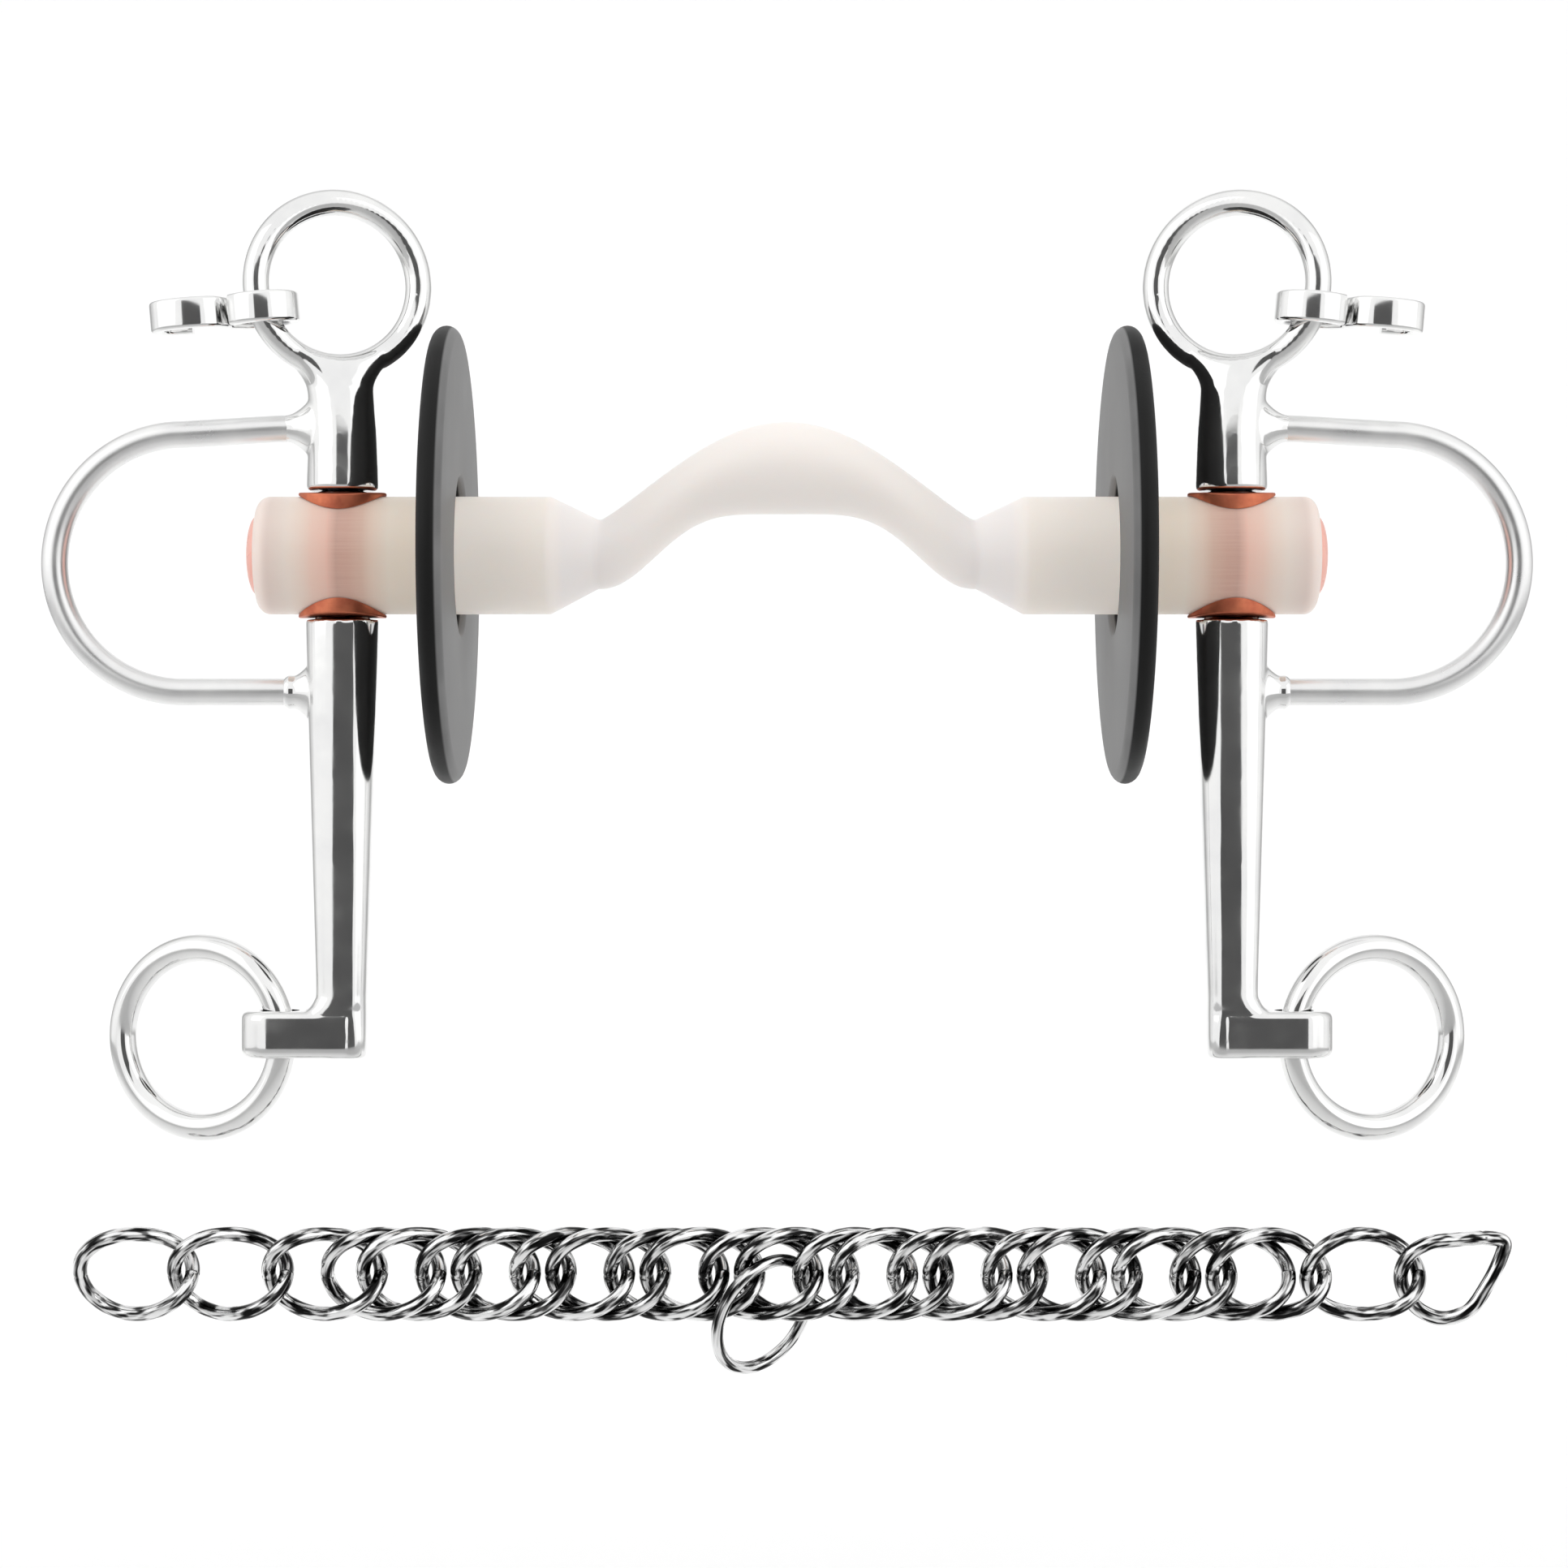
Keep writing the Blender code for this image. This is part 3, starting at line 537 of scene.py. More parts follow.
def bar_look():
    """Milky plastic: whitest in the port, bluer at the necks, yellower by the cheeks, copper behind, with
    painted light beside the guards, a painted highlight and shade on the copper behind, and a painted glow.
    """
    look = Look("milky_plastic", 0.38, 0.0)
    split = look.tree.nodes.new("ShaderNodeSeparateXYZ")
    look.link(look.place.outputs["Object"], split.inputs["Vector"])
    along = look.maths("ABSOLUTE", split.outputs["X"])
    # the bar's tint, with painted light beside the guards
    body = look.ramp(look.maths("DIVIDE", along, BAR_END_X), BAR_TINT_AND_LIGHT)
    offset = look.maths("DIVIDE", look.maths("SUBTRACT", along, CHEEK_X), BUSH_RADIUS)
    near = look.maths("SUBTRACT", 1.0, look.maths("ABSOLUTE", offset))
    halo = look.ramp(look.maths("ADD", look.maths("MULTIPLY", near, 0.5), 0.5), (
        (0.3, (0, 0, 0)), (0.66, (0.88, 0.88, 0.88))))
    # the bush seen through the plastic, with its painted highlight and shade
    metal = look.ramp(look.maths("ADD", look.maths("MULTIPLY", offset, 0.4), 0.5), BUSH_TINT_AND_HIGHLIGHT)
    lines = look.noise(1.0, 3.0, look.stretched((60, 60, 3200)))
    lined = look.mix(look.span(lines, 0.0, 0.25), metal, (0.85, 0.62, 0.52))
    cloudy = look.mix(look.span(look.noise(90, 3.0), 0.0, 0.10), body, (0.95, 0.92, 0.9))
    colour = look.mix(halo, cloudy, lined)
    look.link(colour, look.shader.inputs["Base Color"])
    # painted glow: the bar emits its own colour
    look.link(colour, look.shader.inputs["Emission Color"])
    look.shader.inputs["Emission Strength"].default_value = BAR_GLOW
    look.shader.inputs["Subsurface Weight"].default_value = 0.45
    look.shader.inputs["Subsurface Radius"].default_value = (1.0, 0.75, 0.6)
    look.shader.inputs["Subsurface Scale"].default_value = 3 * MM
    look.shader.inputs["Specular IOR Level"].default_value = 0.35
    look.link(look.span(look.noise(500, 3.0), 0.33, 0.46), look.shader.inputs["Roughness"])
    look.bump(look.noise(1500, 3.0), 0.08, 0.04 * MM)
    return look.material


STEEL = steel_look("polished_steel", 0.05, 0.14)
SATIN = steel_look("satin_steel", 0.27, 0.34)
CHAIN = chain_look()
COPPER = copper_look()
PLUG = plug_look()
RUBBER = rubber_look()
PLASTIC = bar_look()


# Mouthpiece

def port_section(x):
    """Half height, middle height and half depth of the bar at x, between the necks."""
    rise = 0.5 + 0.5 * math.cos(math.pi * min(abs(x) / NECK_X, 1))
    top = NECK_TOP_Z + (PORT_TOP_Z - NECK_TOP_Z) * rise ** PORT_TOP_FULLNESS
    under = NECK_UNDER_Z + (PORT_UNDER_Z - NECK_UNDER_Z) * (1 - (1 - rise) ** PORT_UNDER_FULLNESS)
    depth = NECK_HALF_DEPTH + (PORT_HALF_DEPTH - NECK_HALF_DEPTH) * rise
    return (top - under) / 2, (top + under) / 2, depth


def bar_half():
    """Rows of x, half height, middle height and half depth, from the plug's seat to the neck."""
    lip_out, lip_in = 0.15 * MM, 0.2 * MM
    land_edge, chamfer_edge = 0.3 * MM, 0.4 * MM
    barrel_start, barrel_end = BAR_END_X - 3.5 * MM, SHOULDER_X + 0.6 * MM
    cone_start, cone_end = SHOULDER_X - 0.2 * MM, NECK_X + 0.5 * MM
    end_radius = BAR_RADIUS - BAR_CHAMFER
    rows = [(BAR_END_X - PLUG_RECESS_DEPTH, PLUG_RECESS_RADIUS), (BAR_END_X - lip_out, PLUG_RECESS_RADIUS),
            (BAR_END_X, PLUG_RECESS_RADIUS + lip_in), (BAR_END_X, end_radius - land_edge)]
    for step in range(9):
        angle = step / 8 * math.pi / 2
        rows.append((BAR_END_X - BAR_CHAMFER * (1 - math.cos(angle)),
                     end_radius + BAR_CHAMFER * math.sin(angle)))
    rows.append((BAR_END_X - BAR_CHAMFER - chamfer_edge, BAR_RADIUS))
    rows += [(barrel_start + (barrel_end - barrel_start) * step / 16, BAR_RADIUS) for step in range(17)]
    full = [(x, radius, 0.0, radius) for x, radius in rows]
    neck_height, neck_middle, neck_depth = port_section(NECK_X)
    for step in range(9):
        t = step / 8
        full.append((cone_start + (cone_end - cone_start) * t, BAR_RADIUS + (neck_height - BAR_RADIUS) * t,
                     neck_middle * t, BAR_RADIUS + (neck_depth - BAR_RADIUS) * t))
    return full


def make_bar():
    """The mouthpiece bar in one skin from end to end, bored through for the two bushes."""
    half = bar_half()
    whole = [(-x, height, mid, depth) for x, height, mid, depth in half]
    for step in range(PORT_STEPS + 1):
        x = -NECK_X + 2 * NECK_X * step / PORT_STEPS
        whole.append((x, *port_section(x)))
    whole += reversed(half)
    bm = bmesh.new()
    skin(bm, [ellipse_ring(Vector((x, 0, mid)), depth, height, Y, Z, BAR_SIDES)
              for x, height, mid, depth in whole], False)
    bar = finished("mouthpiece", bm, "mouthpiece", "mouthpiece_bar", PLASTIC)
    for side, _ in SIDES:
        cut(bar, cylinder_bm(BUSH_RADIUS + BUSH_GAP, side * CHEEK_X,
                             -2 * BAR_RADIUS, 2 * BAR_RADIUS, BAR_SIDES))


def cylinder_bm(radius, x, low, high, sides):
    """A solid upright cylinder at x, between two heights."""
    bm = bmesh.new()
    bmesh.ops.create_cone(bm, cap_ends=True, segments=sides, radius1=radius, radius2=radius, depth=high - low)
    bmesh.ops.translate(bm, verts=bm.verts, vec=(x, 0, (low + high) / 2))
    return bm


def cut(piece, tool_bm):
    """Cut a tool's shape out of a piece's mesh and drop the tool."""
    tool = as_object("tool", tool_bm)
    change = piece.modifiers.new("cut", "BOOLEAN")
    change.operation = "DIFFERENCE"
    change.solver = "EXACT"
    change.object = tool
    apply_modifiers(piece)
    bpy.data.objects.remove(tool)


def apply_modifiers(piece):
    """Replace a piece's mesh with its evaluated one."""
    bpy.context.view_layer.update()
    evaluated = piece.evaluated_get(bpy.context.evaluated_depsgraph_get())
    mesh = bpy.data.meshes.new_from_object(evaluated)
    piece.modifiers.clear()
    piece.data = mesh
    mesh.shade_smooth()
    mesh.set_sharp_from_angle(angle=SHARP_ANGLE)


def make_plugs():
    """The copper end plugs: a disc in the bar's recess with a low dome outside."""
    rim_inset, pole_radius = 0.2 * MM, 0.01 * MM
    for side, name in SIDES:
        node = name + "_end_plug"
        low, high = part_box(node)
        outer = abs(high.x if side > 0 else low.x)
        back = abs(low.x if side > 0 else high.x)
        radius = extent(node).z / 2
        rise = outer - BAR_END_X
        profile = [(pole_radius, back), (radius, back), (radius, BAR_END_X - rim_inset)]
        for step in range(1, PLUG_STEPS):
            angle = step / PLUG_STEPS * math.pi / 2
            profile.append((radius * math.cos(angle) ** PLUG_DOME_FULLNESS,
                            BAR_END_X + rise * math.sin(angle)))
        profile.append((pole_radius, outer))
        bm = bmesh.new()
        skin(bm, [circle_points(Vector((side * along, 0, 0)), reach, Y, Z, BAR_SIDES)
                  for reach, along in profile],
             False)
        finished(name + "_plug", bm, "mouthpiece", node, PLUG)


def make_washers():
    """Copper washers, flat above and hollowed below to the bar, as a ring of rounded sections."""
    seat = BAR_RADIUS + WASHER_GAP
    node = "right_upper_saddle_washer"
    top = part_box(node)[1].z
    rim = extent(node).x / 2
    for side, name in SIDES:
        for sign, level in ((1, "upper"), (-1, "lower")):
            rings = []
            for step in range(WASHER_STEPS):
                angle = math.tau * step / WASHER_STEPS
                across = math.sin(angle) * WASHER_DEPTH_SHARE
                under = [math.sqrt(seat ** 2 - (radius * across) ** 2) for radius in (WASHER_HOLE, rim)]
                dip = WASHER_DIP * across ** 2
                section = rounded([(WASHER_HOLE, under[0]), (rim, under[1]), (rim, top - dip),
                                   (WASHER_HOLE, top - dip / 4)], WASHER_EDGE)
                rings.append([Vector((side * CHEEK_X + radius * math.cos(angle), radius * across, sign * z))
                              for radius, z in section])
            bm = bmesh.new()
            skin(bm, rings, True)
            finished(name + "_" + level + "_washer", bm, "mouthpiece", name + "_" + level + "_saddle_washer",
                     COPPER)


def paint_bushes():
    """Copper on the bushes, which keep their own meshes."""
    for _, name in SIDES:
        bush = frame["nodes"][name + "_cheek_bush"]
        bush.data.materials.clear()
        bush.data.materials.append(COPPER)


# Cheeks

def welded(piece, smoothing):
    """Fuse a piece's shells into one skin and soften their seams, as welds and castings are."""
    remesh = piece.modifiers.new("fuse", "REMESH")
    remesh.mode = "VOXEL"
    remesh.voxel_size = FUSE_VOXEL
    smooth = piece.modifiers.new("soften", "SMOOTH")
    smooth.factor = 0.5
    smooth.iterations = smoothing
    apply_modifiers(piece)
    piece.data.set_sharp_from_angle(angle=math.pi)


def eye_sections(name):
    """Height, half width, half depth, squareness and share of the eye's turn, in millimetres, smoothed."""
    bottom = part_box(name + "_eye_piece")[0].z / MM
    table = (
        (bottom, 5.4, 5.4, 2.0, 0.0), (bottom + 0.35, 5.8, 5.75, 2.0, 0.0),
        (bottom + 0.9, 5.9, 5.8, 2.0, 0.0),
        (16.0, 5.75, 5.5, 2.0, 0.0), (20.0, 5.6, 5.3, 2.0, 0.0), (26.0, 5.45, 4.7, 2.1, 0.3),
        (28.4, 5.8, 4.2, 2.2, 0.6), (30.9, 7.4, 3.5, 2.3, 0.85), (34.0, 10.4, 2.6, 2.4, 1.0),
        (37.6, 13.1, 2.1, 2.4, 1.0),
    )
    return smooth_steps(table, 6)


def make_eye_piece(side, name):
    """The upper cheek: a stem that spreads into the eye, the eye's ring and the loop's weld, fused."""
    turn = -side * EYE_TURN
    facing = Vector((-math.sin(turn), math.cos(turn), 0))
    flat = Vector((math.cos(turn), math.sin(turn), 0))
    centre = Vector((side * (CHEEK_X + EYE_OFFSET), 0, eye_height(name)))
    rings = []
    for z, half_x, half_y, squareness, share, _ in eye_sections(name):
        angle = turn * share
        axis_a = Vector((math.cos(angle), math.sin(angle), 0))
        axis_b = Vector((-math.sin(angle), math.cos(angle), 0))
        middle_x = side * (CHEEK_X + EYE_OFFSET * share)
        rings.append(ellipse_ring(Vector((middle_x, 0, z * MM)), half_x * MM, half_y * MM, axis_a, axis_b,
                                  CHEEK_SIDES, max(squareness, 2.0)))
    bm = bmesh.new()
    skin(bm, rings, False)
    piece = finished(name + "_eye", bm, name + "_cheek", name + "_eye_piece", STEEL)
    hole = bmesh.new()
    skin(hole, [circle_points(centre + facing * reach, EYE_RING_RADIUS - EYE_CUT_INSET, flat, Z, BAR_SIDES)
                for reach in (-EYE_RING_RADIUS, EYE_RING_RADIUS)], False)
    cut(piece, hole)
    extra = bmesh.new()
    extra.from_mesh(piece.data)
    skin(extra, swept_rings(circle_points(centre, EYE_RING_RADIUS, flat, Z, EYE_RING_STEPS),
                            round_section(EYE_WIRE / 2, LOOP_SIDES), True, facing), True)
    add_fillet(extra, side, loop_heights(name)[1])
    extra.to_mesh(piece.data)
    extra.free()
    welded(piece, 9)


def eye_height(name):
    """The height of the eye's centre: its outer radius below the top."""
    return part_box(name + "_eye_piece")[1].z - EYE_RING_RADIUS - EYE_WIRE / 2


def loop_heights(name):
    """The heights of the snaffle loop's lower and upper bars."""
    low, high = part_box(name + "_snaffle_loop")
    return low.z + LOOP_WIRE / 2, high.z - LOOP_WIRE / 2


def add_fillet(bm, side, z, bead=0.0):
    """The weld's filleted root on a cheek, with a raised bead near its outer end if asked."""
    flare_share, bead_at, bead_width, steps = 1.4, 0.82, 0.13, 24
    root = WELD_REACH - flare_share * WELD_FLARE
    stations = [(WELD_ROOT, LOOP_WIRE / 2 + WELD_FLARE)]
    for step in range(steps + 1):
        share = step / steps
        swell = bead * math.exp(-((share - bead_at) / bead_width) ** 2)
        stations.append((root + (WELD_REACH - root) * share,
                         LOOP_WIRE / 2 + WELD_FLARE * (1 - share) ** 2 + swell))
    rings = []
    for reach, radius in stations:
        centre = Vector((side * (CHEEK_X + reach), 0, z))
        half_depth = LOOP_WIRE / 2 + (radius - LOOP_WIRE / 2) * WELD_FLATNESS
        rings.append(ellipse_ring(centre, half_depth, radius, Y, Z, WELD_SIDES))
    skin(bm, rings, False)


def shank_sections(name):
    """Height, half width, half depth, squareness and outward shift, in millimetres, smoothed."""
    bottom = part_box(name + "_shank")[0].z / MM
    top = -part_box(name + "_eye_piece")[0].z / MM + 0.05
    table = (
        (bottom, 3.5, 3.9, 4.0, 0.0), (bottom + 0.6, 4.05, 4.4, 4.0, 0.0), (bottom + 3.0, 4.2, 4.5, 4.0, 0.0),
        (-76.5, 4.6, 4.5, 3.7, 0.4), (-75.0, 5.3, 4.5, 3.6, 1.1), (-74.0, 4.7, 4.5, 3.4, 0.5),
        (-72.8, 4.35, 4.5, 3.3, 0.15), (-71.0, 4.25, 4.5, 3.2, 0.0), (-55.0, 4.7, 4.7, 3.0, 0.0),
        (-40.0, 5.15, 5.0, 2.8, 0.0), (-25.0, 5.6, 5.3, 2.6, 0.0), (top - 1.2, 5.95, 5.6, 2.5, 0.0),
        (top - 0.4, 5.85, 5.5, 2.5, 0.0), (top, 5.45, 5.1, 2.5, 0.0),
    )
    return smooth_steps(table, 6)


def foot_rings(side, name):
    """Level outlines of the foot, a bar with a half-round tip, its upper and lower edges rounded."""
    low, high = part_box(name + "_shank")
    tip = max(abs(low.x), abs(high.x))
    edge_steps, tip_steps = 6, 32
    under = []
    for step in range(edge_steps + 1):
        angle = step / edge_steps * math.pi / 2
        under.append((low.z + FOOT_EDGE * (1 - math.sin(angle)), FOOT_EDGE * (1 - math.cos(angle))))
    over = [(low.z + FOOT_HEIGHT - (z - low.z), inset) for z, inset in under]
    rings = []
    for z, inset in sorted(under + over):
        half = FOOT_HALF_DEPTH - inset
        root_x = side * (CHEEK_X - FOOT_ROOT)
        ring = [Vector((root_x, half, z)), Vector((root_x, -half, z))]
        for step in range(tip_steps + 1):
            angle = -math.pi / 2 + math.pi * step / tip_steps
            out = tip - FOOT_HALF_DEPTH + half * math.cos(angle)
            ring.append(Vector((side * out, half * math.sin(angle), z)))
        rings.append(ring)
    return rings


def make_shank(side, name):
    """The lower cheek: shank, foot, pin and the loop's beaded weld, fused, and the rein ring's hole."""
    node = name + "_shank"
    rings = []
    for z, half_x, half_y, squareness, shift, _ in shank_sections(name):
        centre = Vector((side * (CHEEK_X + shift * MM), 0, z * MM))
        rings.append(ellipse_ring(centre, half_x * MM, half_y * MM, X, Y, CHEEK_SIDES, squareness))
    low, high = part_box(node)
    bm = bmesh.new()
    skin(bm, rings, False)
    skin(bm, foot_rings(side, name), False)
    pin = ((PIN_ROOT_Z, PIN_RADIUS), (PIN_SHOULDER_Z, PIN_RADIUS), (PIN_SHOULDER_Z + PIN_STEP, SPIGOT_RADIUS),
           (high.z, SPIGOT_RADIUS))
    skin(bm, [circle_points(Vector((side * CHEEK_X, 0, z)), radius, X, Y, WELD_SIDES)
              for z, radius in pin], False)
    add_fillet(bm, side, loop_heights(name)[0], WELD_BEAD)
    piece = finished(name + "_lower_cheek", bm, name + "_cheek", node, STEEL)
    welded(piece, 7)
    hole_x = side * (max(abs(low.x), abs(high.x)) - FOOT_HOLE_INSET)
    cut(piece, cylinder_bm(FOOT_HOLE_RADIUS, hole_x,
                           low.z - FOOT_HEIGHT, low.z + 2 * FOOT_HEIGHT, CHEEK_SIDES))
    piece.data.set_sharp_from_angle(angle=math.radians(60))


def make_loop(side, name):
    """The snaffle loop: a D of wire, its upper bar dropping a little towards the bow."""
    node = name + "_snaffle_loop"
    low, high = loop_heights(name)
    reaches = [abs(corner.x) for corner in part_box(node)]
    start_x = min(reaches) - LOOP_INSET
    bow_top = high - LOOP_DROP
    bow = (bow_top - low) / 2
    bow_x = max(reaches) - LOOP_WIRE / 2 - bow
    points = [(start_x, high), (start_x + 0.5 * LOOP_DROP, high - 0.03 * LOOP_DROP)]
    for step in range(1, LOOP_STEPS):
        share = step / LOOP_STEPS
        points.append((start_x + LOOP_DROP + (bow_x - start_x - LOOP_DROP) * share, high - LOOP_DROP * share))
    for step in range(BOW_STEPS + 1):
        angle = math.pi / 2 - math.pi * step / BOW_STEPS
        points.append((bow_x + bow * math.cos(angle), (low + bow_top) / 2 + bow * math.sin(angle)))
    points += [(bow_x + (start_x - bow_x) * step / LOOP_STEPS, low) for step in range(1, LOOP_STEPS + 1)]
    path = [Vector((side * x, 0, z)) for x, z in points]
    bm = bmesh.new()
    skin(bm, swept_rings(path, round_section(LOOP_WIRE / 2, LOOP_SIDES), False, Y), False)
    finished(name + "_snaffle_d", bm, name + "_cheek", node, SATIN)


def make_rein_ring(side, name):
    """A round ring, turned a little about the vertical, as it hangs in the foot."""
    node = name + "_rein_ring"
    turn = side * REIN_RING_TURN
    flat = Vector((math.cos(turn), math.sin(turn), 0))
    path = circle_points(Vector(), (extent(node).z - REIN_RING_WIRE) / 2, flat, Z, REIN_RING_STEPS)
    bm = bmesh.new()
    skin(bm, swept_rings(path, round_section(REIN_RING_WIRE / 2, REIN_RING_SIDES), True, flat.cross(Z)), True)
    centre_on(bm, node)
    finished(name + "_curb_rein_ring", bm, node, node, STEEL)


HOOK_CORNERS = (  # plan points of the open bend in millimetres, outward and towards the back
    (5.7, 1.2), (6.3, -0.6), (7.6, -2.7), (10.2, -3.8), (13.4, -3.8), (16.2, -2.5), (17.1, 0.0),
    (16.0, 2.6), (13.4, 3.7), (11.8, 3.7),
)


def hook_path():
    """The hook's plan: a closed eye, then an S into an open bend."""
    first, last, turn = -36, -325, -24
    corners = []
    for degrees in range(first, last, turn):
        angle = math.radians(degrees)
        corners.append(Vector((HOOK_EYE_HALF_WIDTH * math.cos(angle),
                               HOOK_EYE_HALF_DEPTH * math.sin(angle), 0)))
    corners += [Vector((out * MM, back * MM, 0)) for out, back in HOOK_CORNERS]
    return smooth_path(corners, 10)


def smooth_path(corners, steps):
    """An open Catmull-Rom curve through the corners."""
    last = len(corners) - 1
    points = []
    for index in range(last):
        p0, p1, p2, p3 = (corners[min(max(index + shift, 0), last)] for shift in (-1, 0, 1, 2))
        points += [catmull_rom(p0, p1, p2, p3, step / steps) for step in range(steps)]
    return points + [corners[last]]


def make_hook(side, name):
    """A flat band bent along the hook's plan, tilted down a little outward."""
    node = name + "_curb_hook"
    path = [Vector((side * point.x, point.y, 0)) for point in hook_path()]
    band, height = HOOK_BAND / 2, HOOK_HALF_HEIGHT
    section = rounded([(-band, -height), (band, -height), (band, height), (-band, height)], HOOK_EDGE, 5)
    bm = bmesh.new()
    skin(bm, swept_rings(path, section, False, Z), False)
    bmesh.ops.rotate(bm, verts=bm.verts, cent=(0, 0, 0), matrix=Matrix.Rotation(side * HOOK_TILT, 3, "Y"))
    centre_on(bm, node)
    finished(name + "_hook", bm, node, node, STEEL)


# Bit guards

def make_guard(side, name):
    """A rubber disc with a fully rounded rim and a hole with softened edges."""
    node = name + "_bit_guard"
    rim_steps, edge_steps = 12, 6
    profile = []
    for step in range(rim_steps + 1):
        angle = math.pi / 2 - math.pi * step / rim_steps
        profile.append((GUARD_RADIUS - GUARD_HALF + GUARD_HALF * math.cos(angle),
                        GUARD_HALF * math.sin(angle)))
    for sign in (-1, 1):
        for step in range(edge_steps + 1):
            angle = step / edge_steps * math.pi / 2
            if sign > 0:
                angle = math.pi / 2 - angle
            profile.append((GUARD_HOLE + GUARD_HOLE_EDGE - GUARD_HOLE_EDGE * math.sin(angle),
                            sign * (GUARD_HALF - GUARD_HOLE_EDGE + GUARD_HOLE_EDGE * math.cos(angle))))
    bm = bmesh.new()
    skin(bm, turned_rings(profile, Vector((side * GUARD_X, 0, 0)), X, GUARD_STEPS), True)
    finished(name + "_guard", bm, node, node, RUBBER)


# Curb chain

END_LINK_OUTLINE = (  # outward, up and towards the viewer in millimetres
    (-8.5, 0.5, 0.0), (-7.2, 3.6, 1.9), (-4.2, 5.3, 2.2), (0.0, 5.7, 1.0),
    (5.0, 5.9, 0.2), (8.2, 5.3, 0.0), (7.9, 3.0, 0.2), (5.6, -1.5, 0.6),
    (2.6, -5.8, 0.4), (-1.5, -7.4, -0.6), (-5.3, -6.1, -1.8), (-7.9, -2.8, -1.5),
)


def closed_wire(points, wire, sides, seam_at, up):
    """A closed wire with a hairline notch at share seam_at, where its ends meet."""
    count = len(points)
    sections = []
    for index in range(count):
        gap = abs((index / count - seam_at + 0.5) % 1 - 0.5)
        notch = 1 - SEAM_DEPTH * math.exp(-(gap / SEAM_WIDTH) ** 2)
        sections.append(round_section(wire / 2 * notch, sides))
    bm = bmesh.new()
    skin(bm, swept_rings(points, sections, True, up), True)
    return bm


def link_points(node):
    """A pear-shaped oval with a twist, as long as the node's box."""
    half_length = extent(node).x / 2 - LINK_WIRE / 2
    points = []
    for step in range(LINK_STEPS):
        angle = math.tau * step / LINK_STEPS
        height = LINK_HALF_HEIGHT * math.sin(angle) * (1 - LINK_PEAR * math.cos(angle))
        points.append(Vector((half_length * math.cos(angle), LINK_TWIST * math.sin(2 * angle), height)))
    return points


def end_link_points():
    """The end link's outline as a closed Catmull-Rom curve."""
    corners = [Vector((x * MM, -near * MM, z * MM)) for x, z, near in END_LINK_OUTLINE]
    count, steps = len(corners), 16
    points = []
    for index in range(count):
        p0, p1, p2, p3 = (corners[(index + shift) % count] for shift in (-1, 0, 1, 2))
        points += [catmull_rom(p0, p1, p2, p3, step / steps) for step in range(steps)]
    return points


def make_chain():
    """Every link of the chain, each riding its own body."""
    bodies = frame["record"]["behaviour"]["bodies"]
    for node in LINKS:
        points, seam_at = (end_link_points(), 0.33) if node == "chain_end_link" else (link_points(node), 0.5)
        bm = closed_wire(points, LINK_WIRE, LINK_SIDES, seam_at, Y)
        centre_on(bm, node)
        body = next(name for name, nodes in bodies.items() if node in nodes)
        finished(node.replace("link", "ringlet"), bm, body, node, CHAIN)


def make_fly_ring():
    """The round ring for the lip strap, turned and leaned to clear the links beside it."""
    flat = Vector((math.cos(FLY_RING_TURN), math.sin(FLY_RING_TURN), 0))
    back = Vector((-math.sin(FLY_RING_TURN), math.cos(FLY_RING_TURN), 0))
    rise = Z * math.cos(FLY_RING_LEAN) - back * math.sin(FLY_RING_LEAN)
    points = circle_points(Vector(), FLY_RING_RADIUS, flat, rise, LINK_STEPS)
    bm = closed_wire(points, FLY_RING_WIRE * FLY_RING_SLIMMER, FLY_RING_SIDES, 0.02, flat.cross(rise))
    centre_on(bm, "fly_ring")
    finished("lip_strap_ring", bm, "fly_ring", "fly_ring", CHAIN)


# Studio

SKY_BELOW = 0.5  # the sky's strength looking down, level and away from the viewer
SKY_LEVEL = 1.02
SKY_BEHIND = 0.55
CARD_GREY = (0.14, 0.14, 0.14)
CARD_CENTRE = Vector((0, -0.95, 0.03))
CARD_HALF_WIDTH = 0.31
CARD_HALF_HEIGHT = 0.25
COVE_WHITE = (0.93, 0.93, 0.93)
COVE_GREY = (0.45, 0.45, 0.45)
COVE_GLOW = 0.14
GREY_FRONT = -0.25  # y where the paper starts to turn white, and where it is white
WHITE_FRONT = 0.1
GREY_SIDE = 0.75  # the same for its distance from the middle
WHITE_SIDE = 0.36
FLOOR_Z = -0.19
FLOOR_FRONT_Y = -0.9
WALL_Y = 1.0
WALL_TOP_Z = 1.2
WALL_BEND = 0.3
COVE_HALF_WIDTH = 1.2


def paper(look, shade):
    """Shade with the faint cloudiness of studio paper."""
    tone = look.ramp(look.noise(3.0, 2.0), ((0.3, (0.985, 0.985, 0.985)), (0.7, (1, 1, 1))))
    return look.mix(1.0, shade, tone, "MULTIPLY")


def card_look():
    """Matt grey paper."""
    look = Look("grey_card_paper", 0.9, 0.0)
    look.link(paper(look, CARD_GREY), look.shader.inputs["Base Color"])
    return look.material


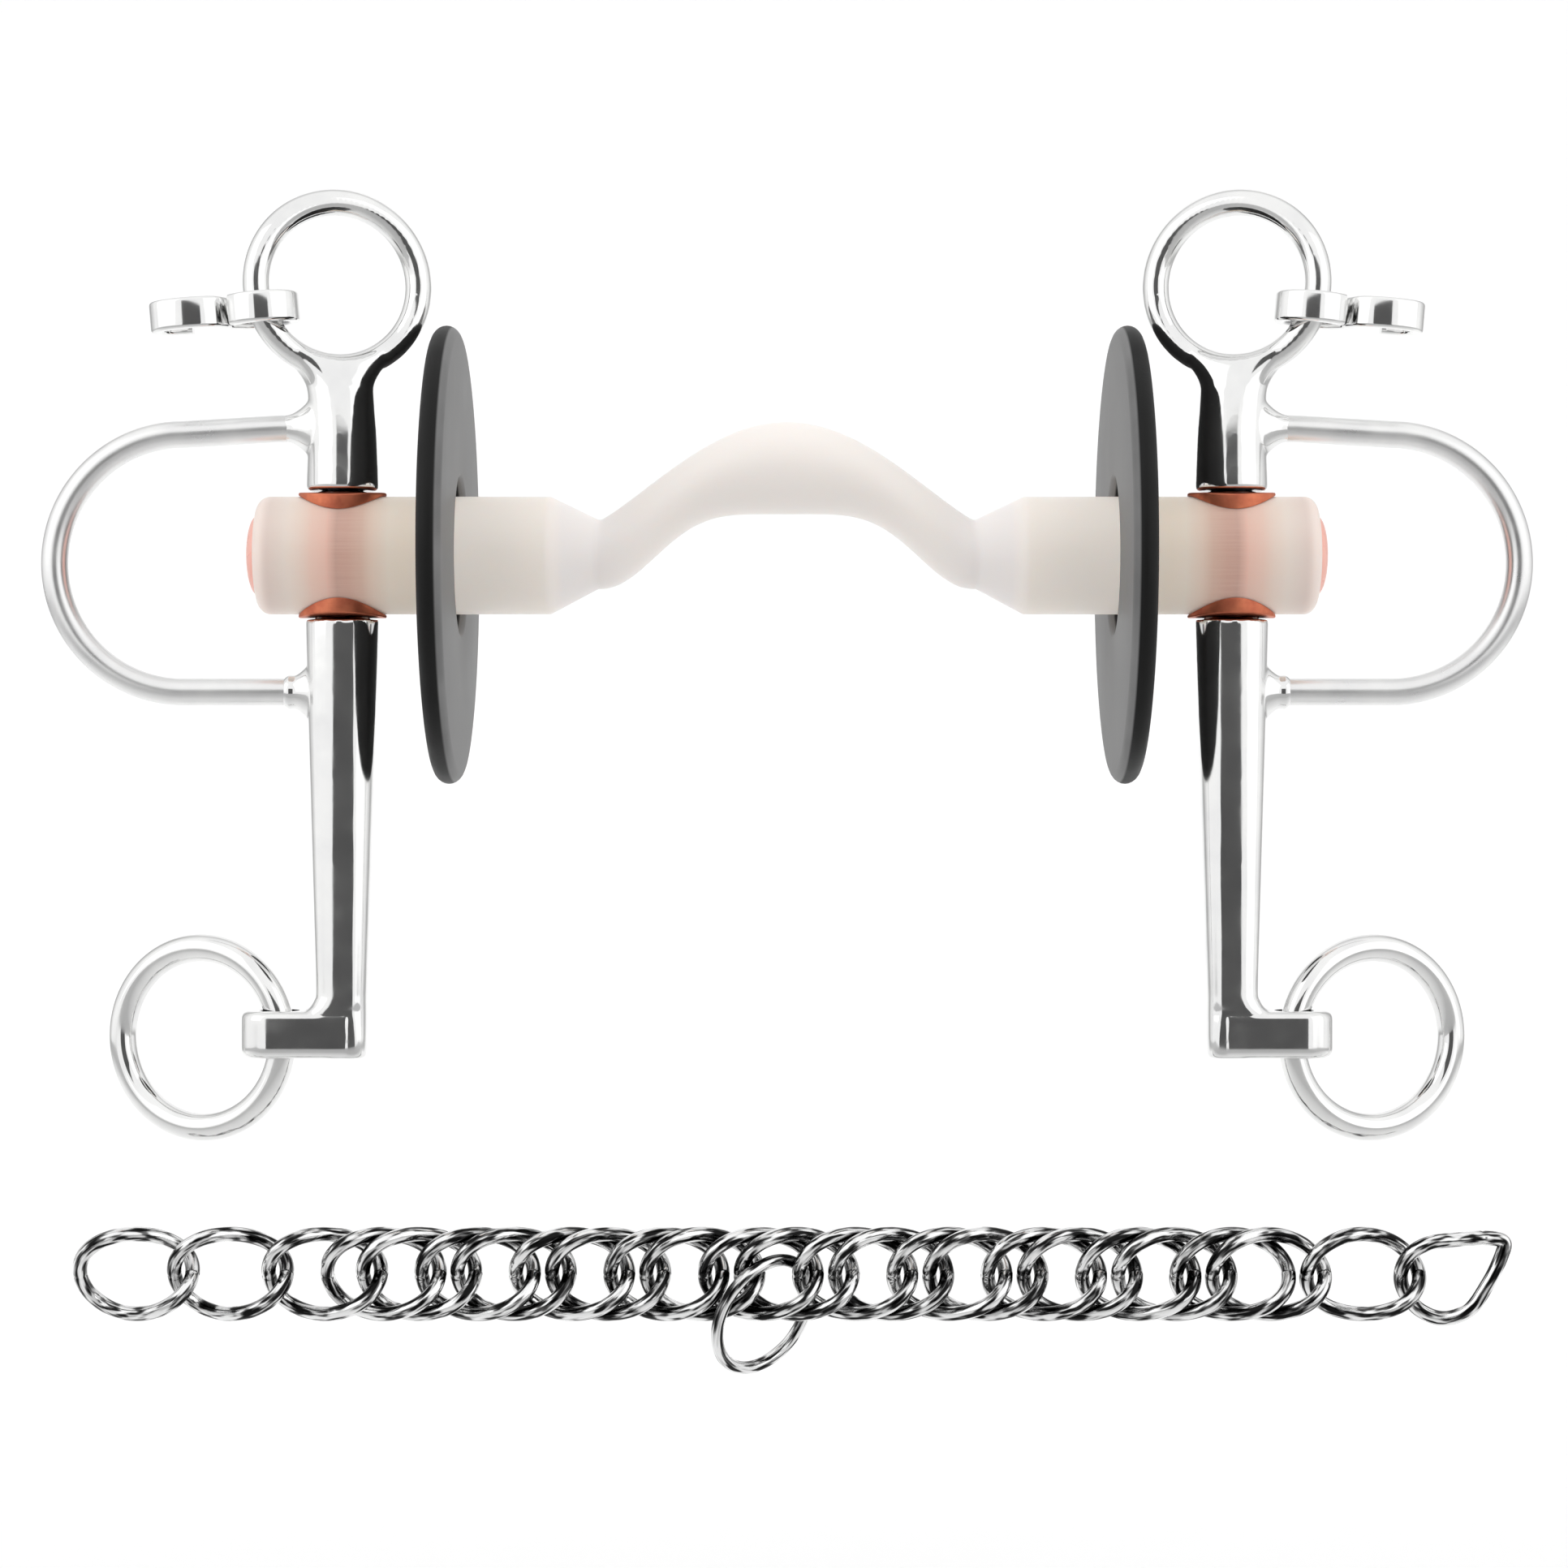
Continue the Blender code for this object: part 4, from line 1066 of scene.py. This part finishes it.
def cove_look():
    """Matt paper: white behind the bit, greyer in front of it and off to the sides."""
    look = Look("cove_white", 0.9, 0.0)
    split = look.tree.nodes.new("ShaderNodeSeparateXYZ")
    look.link(look.place.outputs["Object"], split.inputs["Vector"])
    black_to_white = ((0.0, (0, 0, 0)), (1.0, (1, 1, 1)))
    past_front = look.maths("SUBTRACT", split.outputs["Y"], GREY_FRONT)
    past_side = look.maths("SUBTRACT", look.maths("ABSOLUTE", split.outputs["X"]), GREY_SIDE)
    backward = look.maths("DIVIDE", past_front, WHITE_FRONT - GREY_FRONT)
    inward = look.maths("DIVIDE", past_side, WHITE_SIDE - GREY_SIDE)
    share = look.mix(1.0, look.ramp(backward, black_to_white), look.ramp(inward, black_to_white), "MULTIPLY")
    shade = paper(look, look.mix(share, COVE_GREY, COVE_WHITE))
    look.link(shade, look.shader.inputs["Base Color"])
    look.link(shade, look.shader.inputs["Emission Color"])
    look.shader.inputs["Emission Strength"].default_value = COVE_GLOW
    return look.material


def make_sky():
    """A soft tent: bright in front, greyer from below and from behind."""
    world = bpy.data.worlds.new("studio")
    bpy.context.scene.world = world
    world.use_nodes = True
    tree = world.node_tree
    place = tree.nodes.new("ShaderNodeTexCoord")
    split = tree.nodes.new("ShaderNodeSeparateXYZ")
    tree.links.new(place.outputs["Generated"], split.inputs["Vector"])
    share = tree.nodes.new("ShaderNodeMath")
    share.operation = "MULTIPLY"
    slopes = (("Z", -0.8, -0.05, SKY_BELOW, SKY_LEVEL), ("Y", 0.1, 0.7, 1.0, SKY_BEHIND))
    for socket, (axis, start, end, low, high) in zip(share.inputs, slopes):
        tone = tree.nodes.new("ShaderNodeMapRange")
        tone.inputs["From Min"].default_value = start
        tone.inputs["From Max"].default_value = end
        tone.inputs["To Min"].default_value = low
        tone.inputs["To Max"].default_value = high
        tree.links.new(split.outputs[axis], tone.inputs["Value"])
        tree.links.new(tone.outputs["Result"], socket)
    background = tree.nodes["Background"]
    background.inputs["Color"].default_value = (1, 1, 1, 1)
    tree.links.new(share.outputs["Value"], background.inputs["Strength"])


def staged_sheet(name, rows, look):
    """A sheet over rows of equal counts of points, as part of the stage."""
    bm = bmesh.new()
    grid = [[bm.verts.new(point) for point in row] for row in rows]
    for low, high in zip(grid, grid[1:]):
        bm.faces.new((low[0], low[1], high[1], high[0]))
    mesh = bpy.data.meshes.new(name)
    bm.to_mesh(mesh)
    bm.free()
    mesh.materials.append(look)
    mesh.shade_smooth()
    sheet = bpy.data.objects.new(name, mesh)
    bpy.context.scene.collection.objects.link(sheet)


def make_cove():
    """A floor that curves up into the backdrop."""
    steps = 16
    path = [(FLOOR_FRONT_Y, FLOOR_Z), (WALL_Y - WALL_BEND, FLOOR_Z)]
    for step in range(1, steps + 1):
        angle = step / steps * math.pi / 2
        path.append((WALL_Y - WALL_BEND * (1 - math.sin(angle)), FLOOR_Z + WALL_BEND * (1 - math.cos(angle))))
    path.append((WALL_Y, WALL_TOP_Z))
    rows = [[(x, y, z) for x in (-COVE_HALF_WIDTH, COVE_HALF_WIDTH)] for y, z in path]
    staged_sheet("cove", rows, cove_look())


def make_card():
    """A grey card behind the camera, for the dark bands in the steel."""
    rows = [[CARD_CENTRE + X * side * CARD_HALF_WIDTH + Z * level * CARD_HALF_HEIGHT for side in (-1, 1)]
            for level in (-1, 1)]
    staged_sheet("grey_card", rows, card_look())


def make_light(name, at, power):
    """A square soft light aimed at the bit."""
    aim, size = Vector((0, 0, -0.03)), 1.0
    data = bpy.data.lights.new(name, "AREA")
    data.shape = "SQUARE"
    data.size = size
    data.energy = power
    lamp = bpy.data.objects.new(name, data)
    lamp.location = at
    lamp.rotation_euler = (aim - Vector(at)).to_track_quat("-Z", "Y").to_euler()
    bpy.context.scene.collection.objects.link(lamp)


def make_studio():
    """Sky, floor, card and two soft lights."""
    make_sky()
    make_cove()
    make_card()
    make_light("key", (-0.85, -0.6, 0.45), 0.9)
    make_light("fill", (0.85, -0.6, 0.3), 0.7)
    bpy.context.scene.view_settings.view_transform = "Standard"


def make_camera():
    """Level and square to the mouthpiece, about 0.6 m away, aimed at the middle of the whole bit."""
    low = Vector([min(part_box(node)[0][axis] for node in frame["nodes"]) for axis in range(3)])
    high = Vector([max(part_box(node)[1][axis] for node in frame["nodes"]) for axis in range(3)])
    distance, view_width, aside = 0.6, 0.2576, -0.0005
    data = bpy.data.cameras.new("camera")
    data.sensor_width = 36
    data.lens = data.sensor_width * distance / view_width
    data.dof.use_dof = False
    camera = bpy.data.objects.new("camera", data)
    camera.location = (aside, -distance, (low.z + high.z) / 2)
    camera.rotation_euler = (math.pi / 2, 0, 0)
    bpy.context.scene.collection.objects.link(camera)
    bpy.context.scene.camera = camera


make_bar()
make_plugs()
make_washers()
paint_bushes()
for cheek_side, cheek_name in SIDES:
    for make in (make_eye_piece, make_shank, make_loop, make_rein_ring, make_hook, make_guard):
        make(cheek_side, cheek_name)
make_chain()
make_fly_ring()
make_studio()
make_camera()
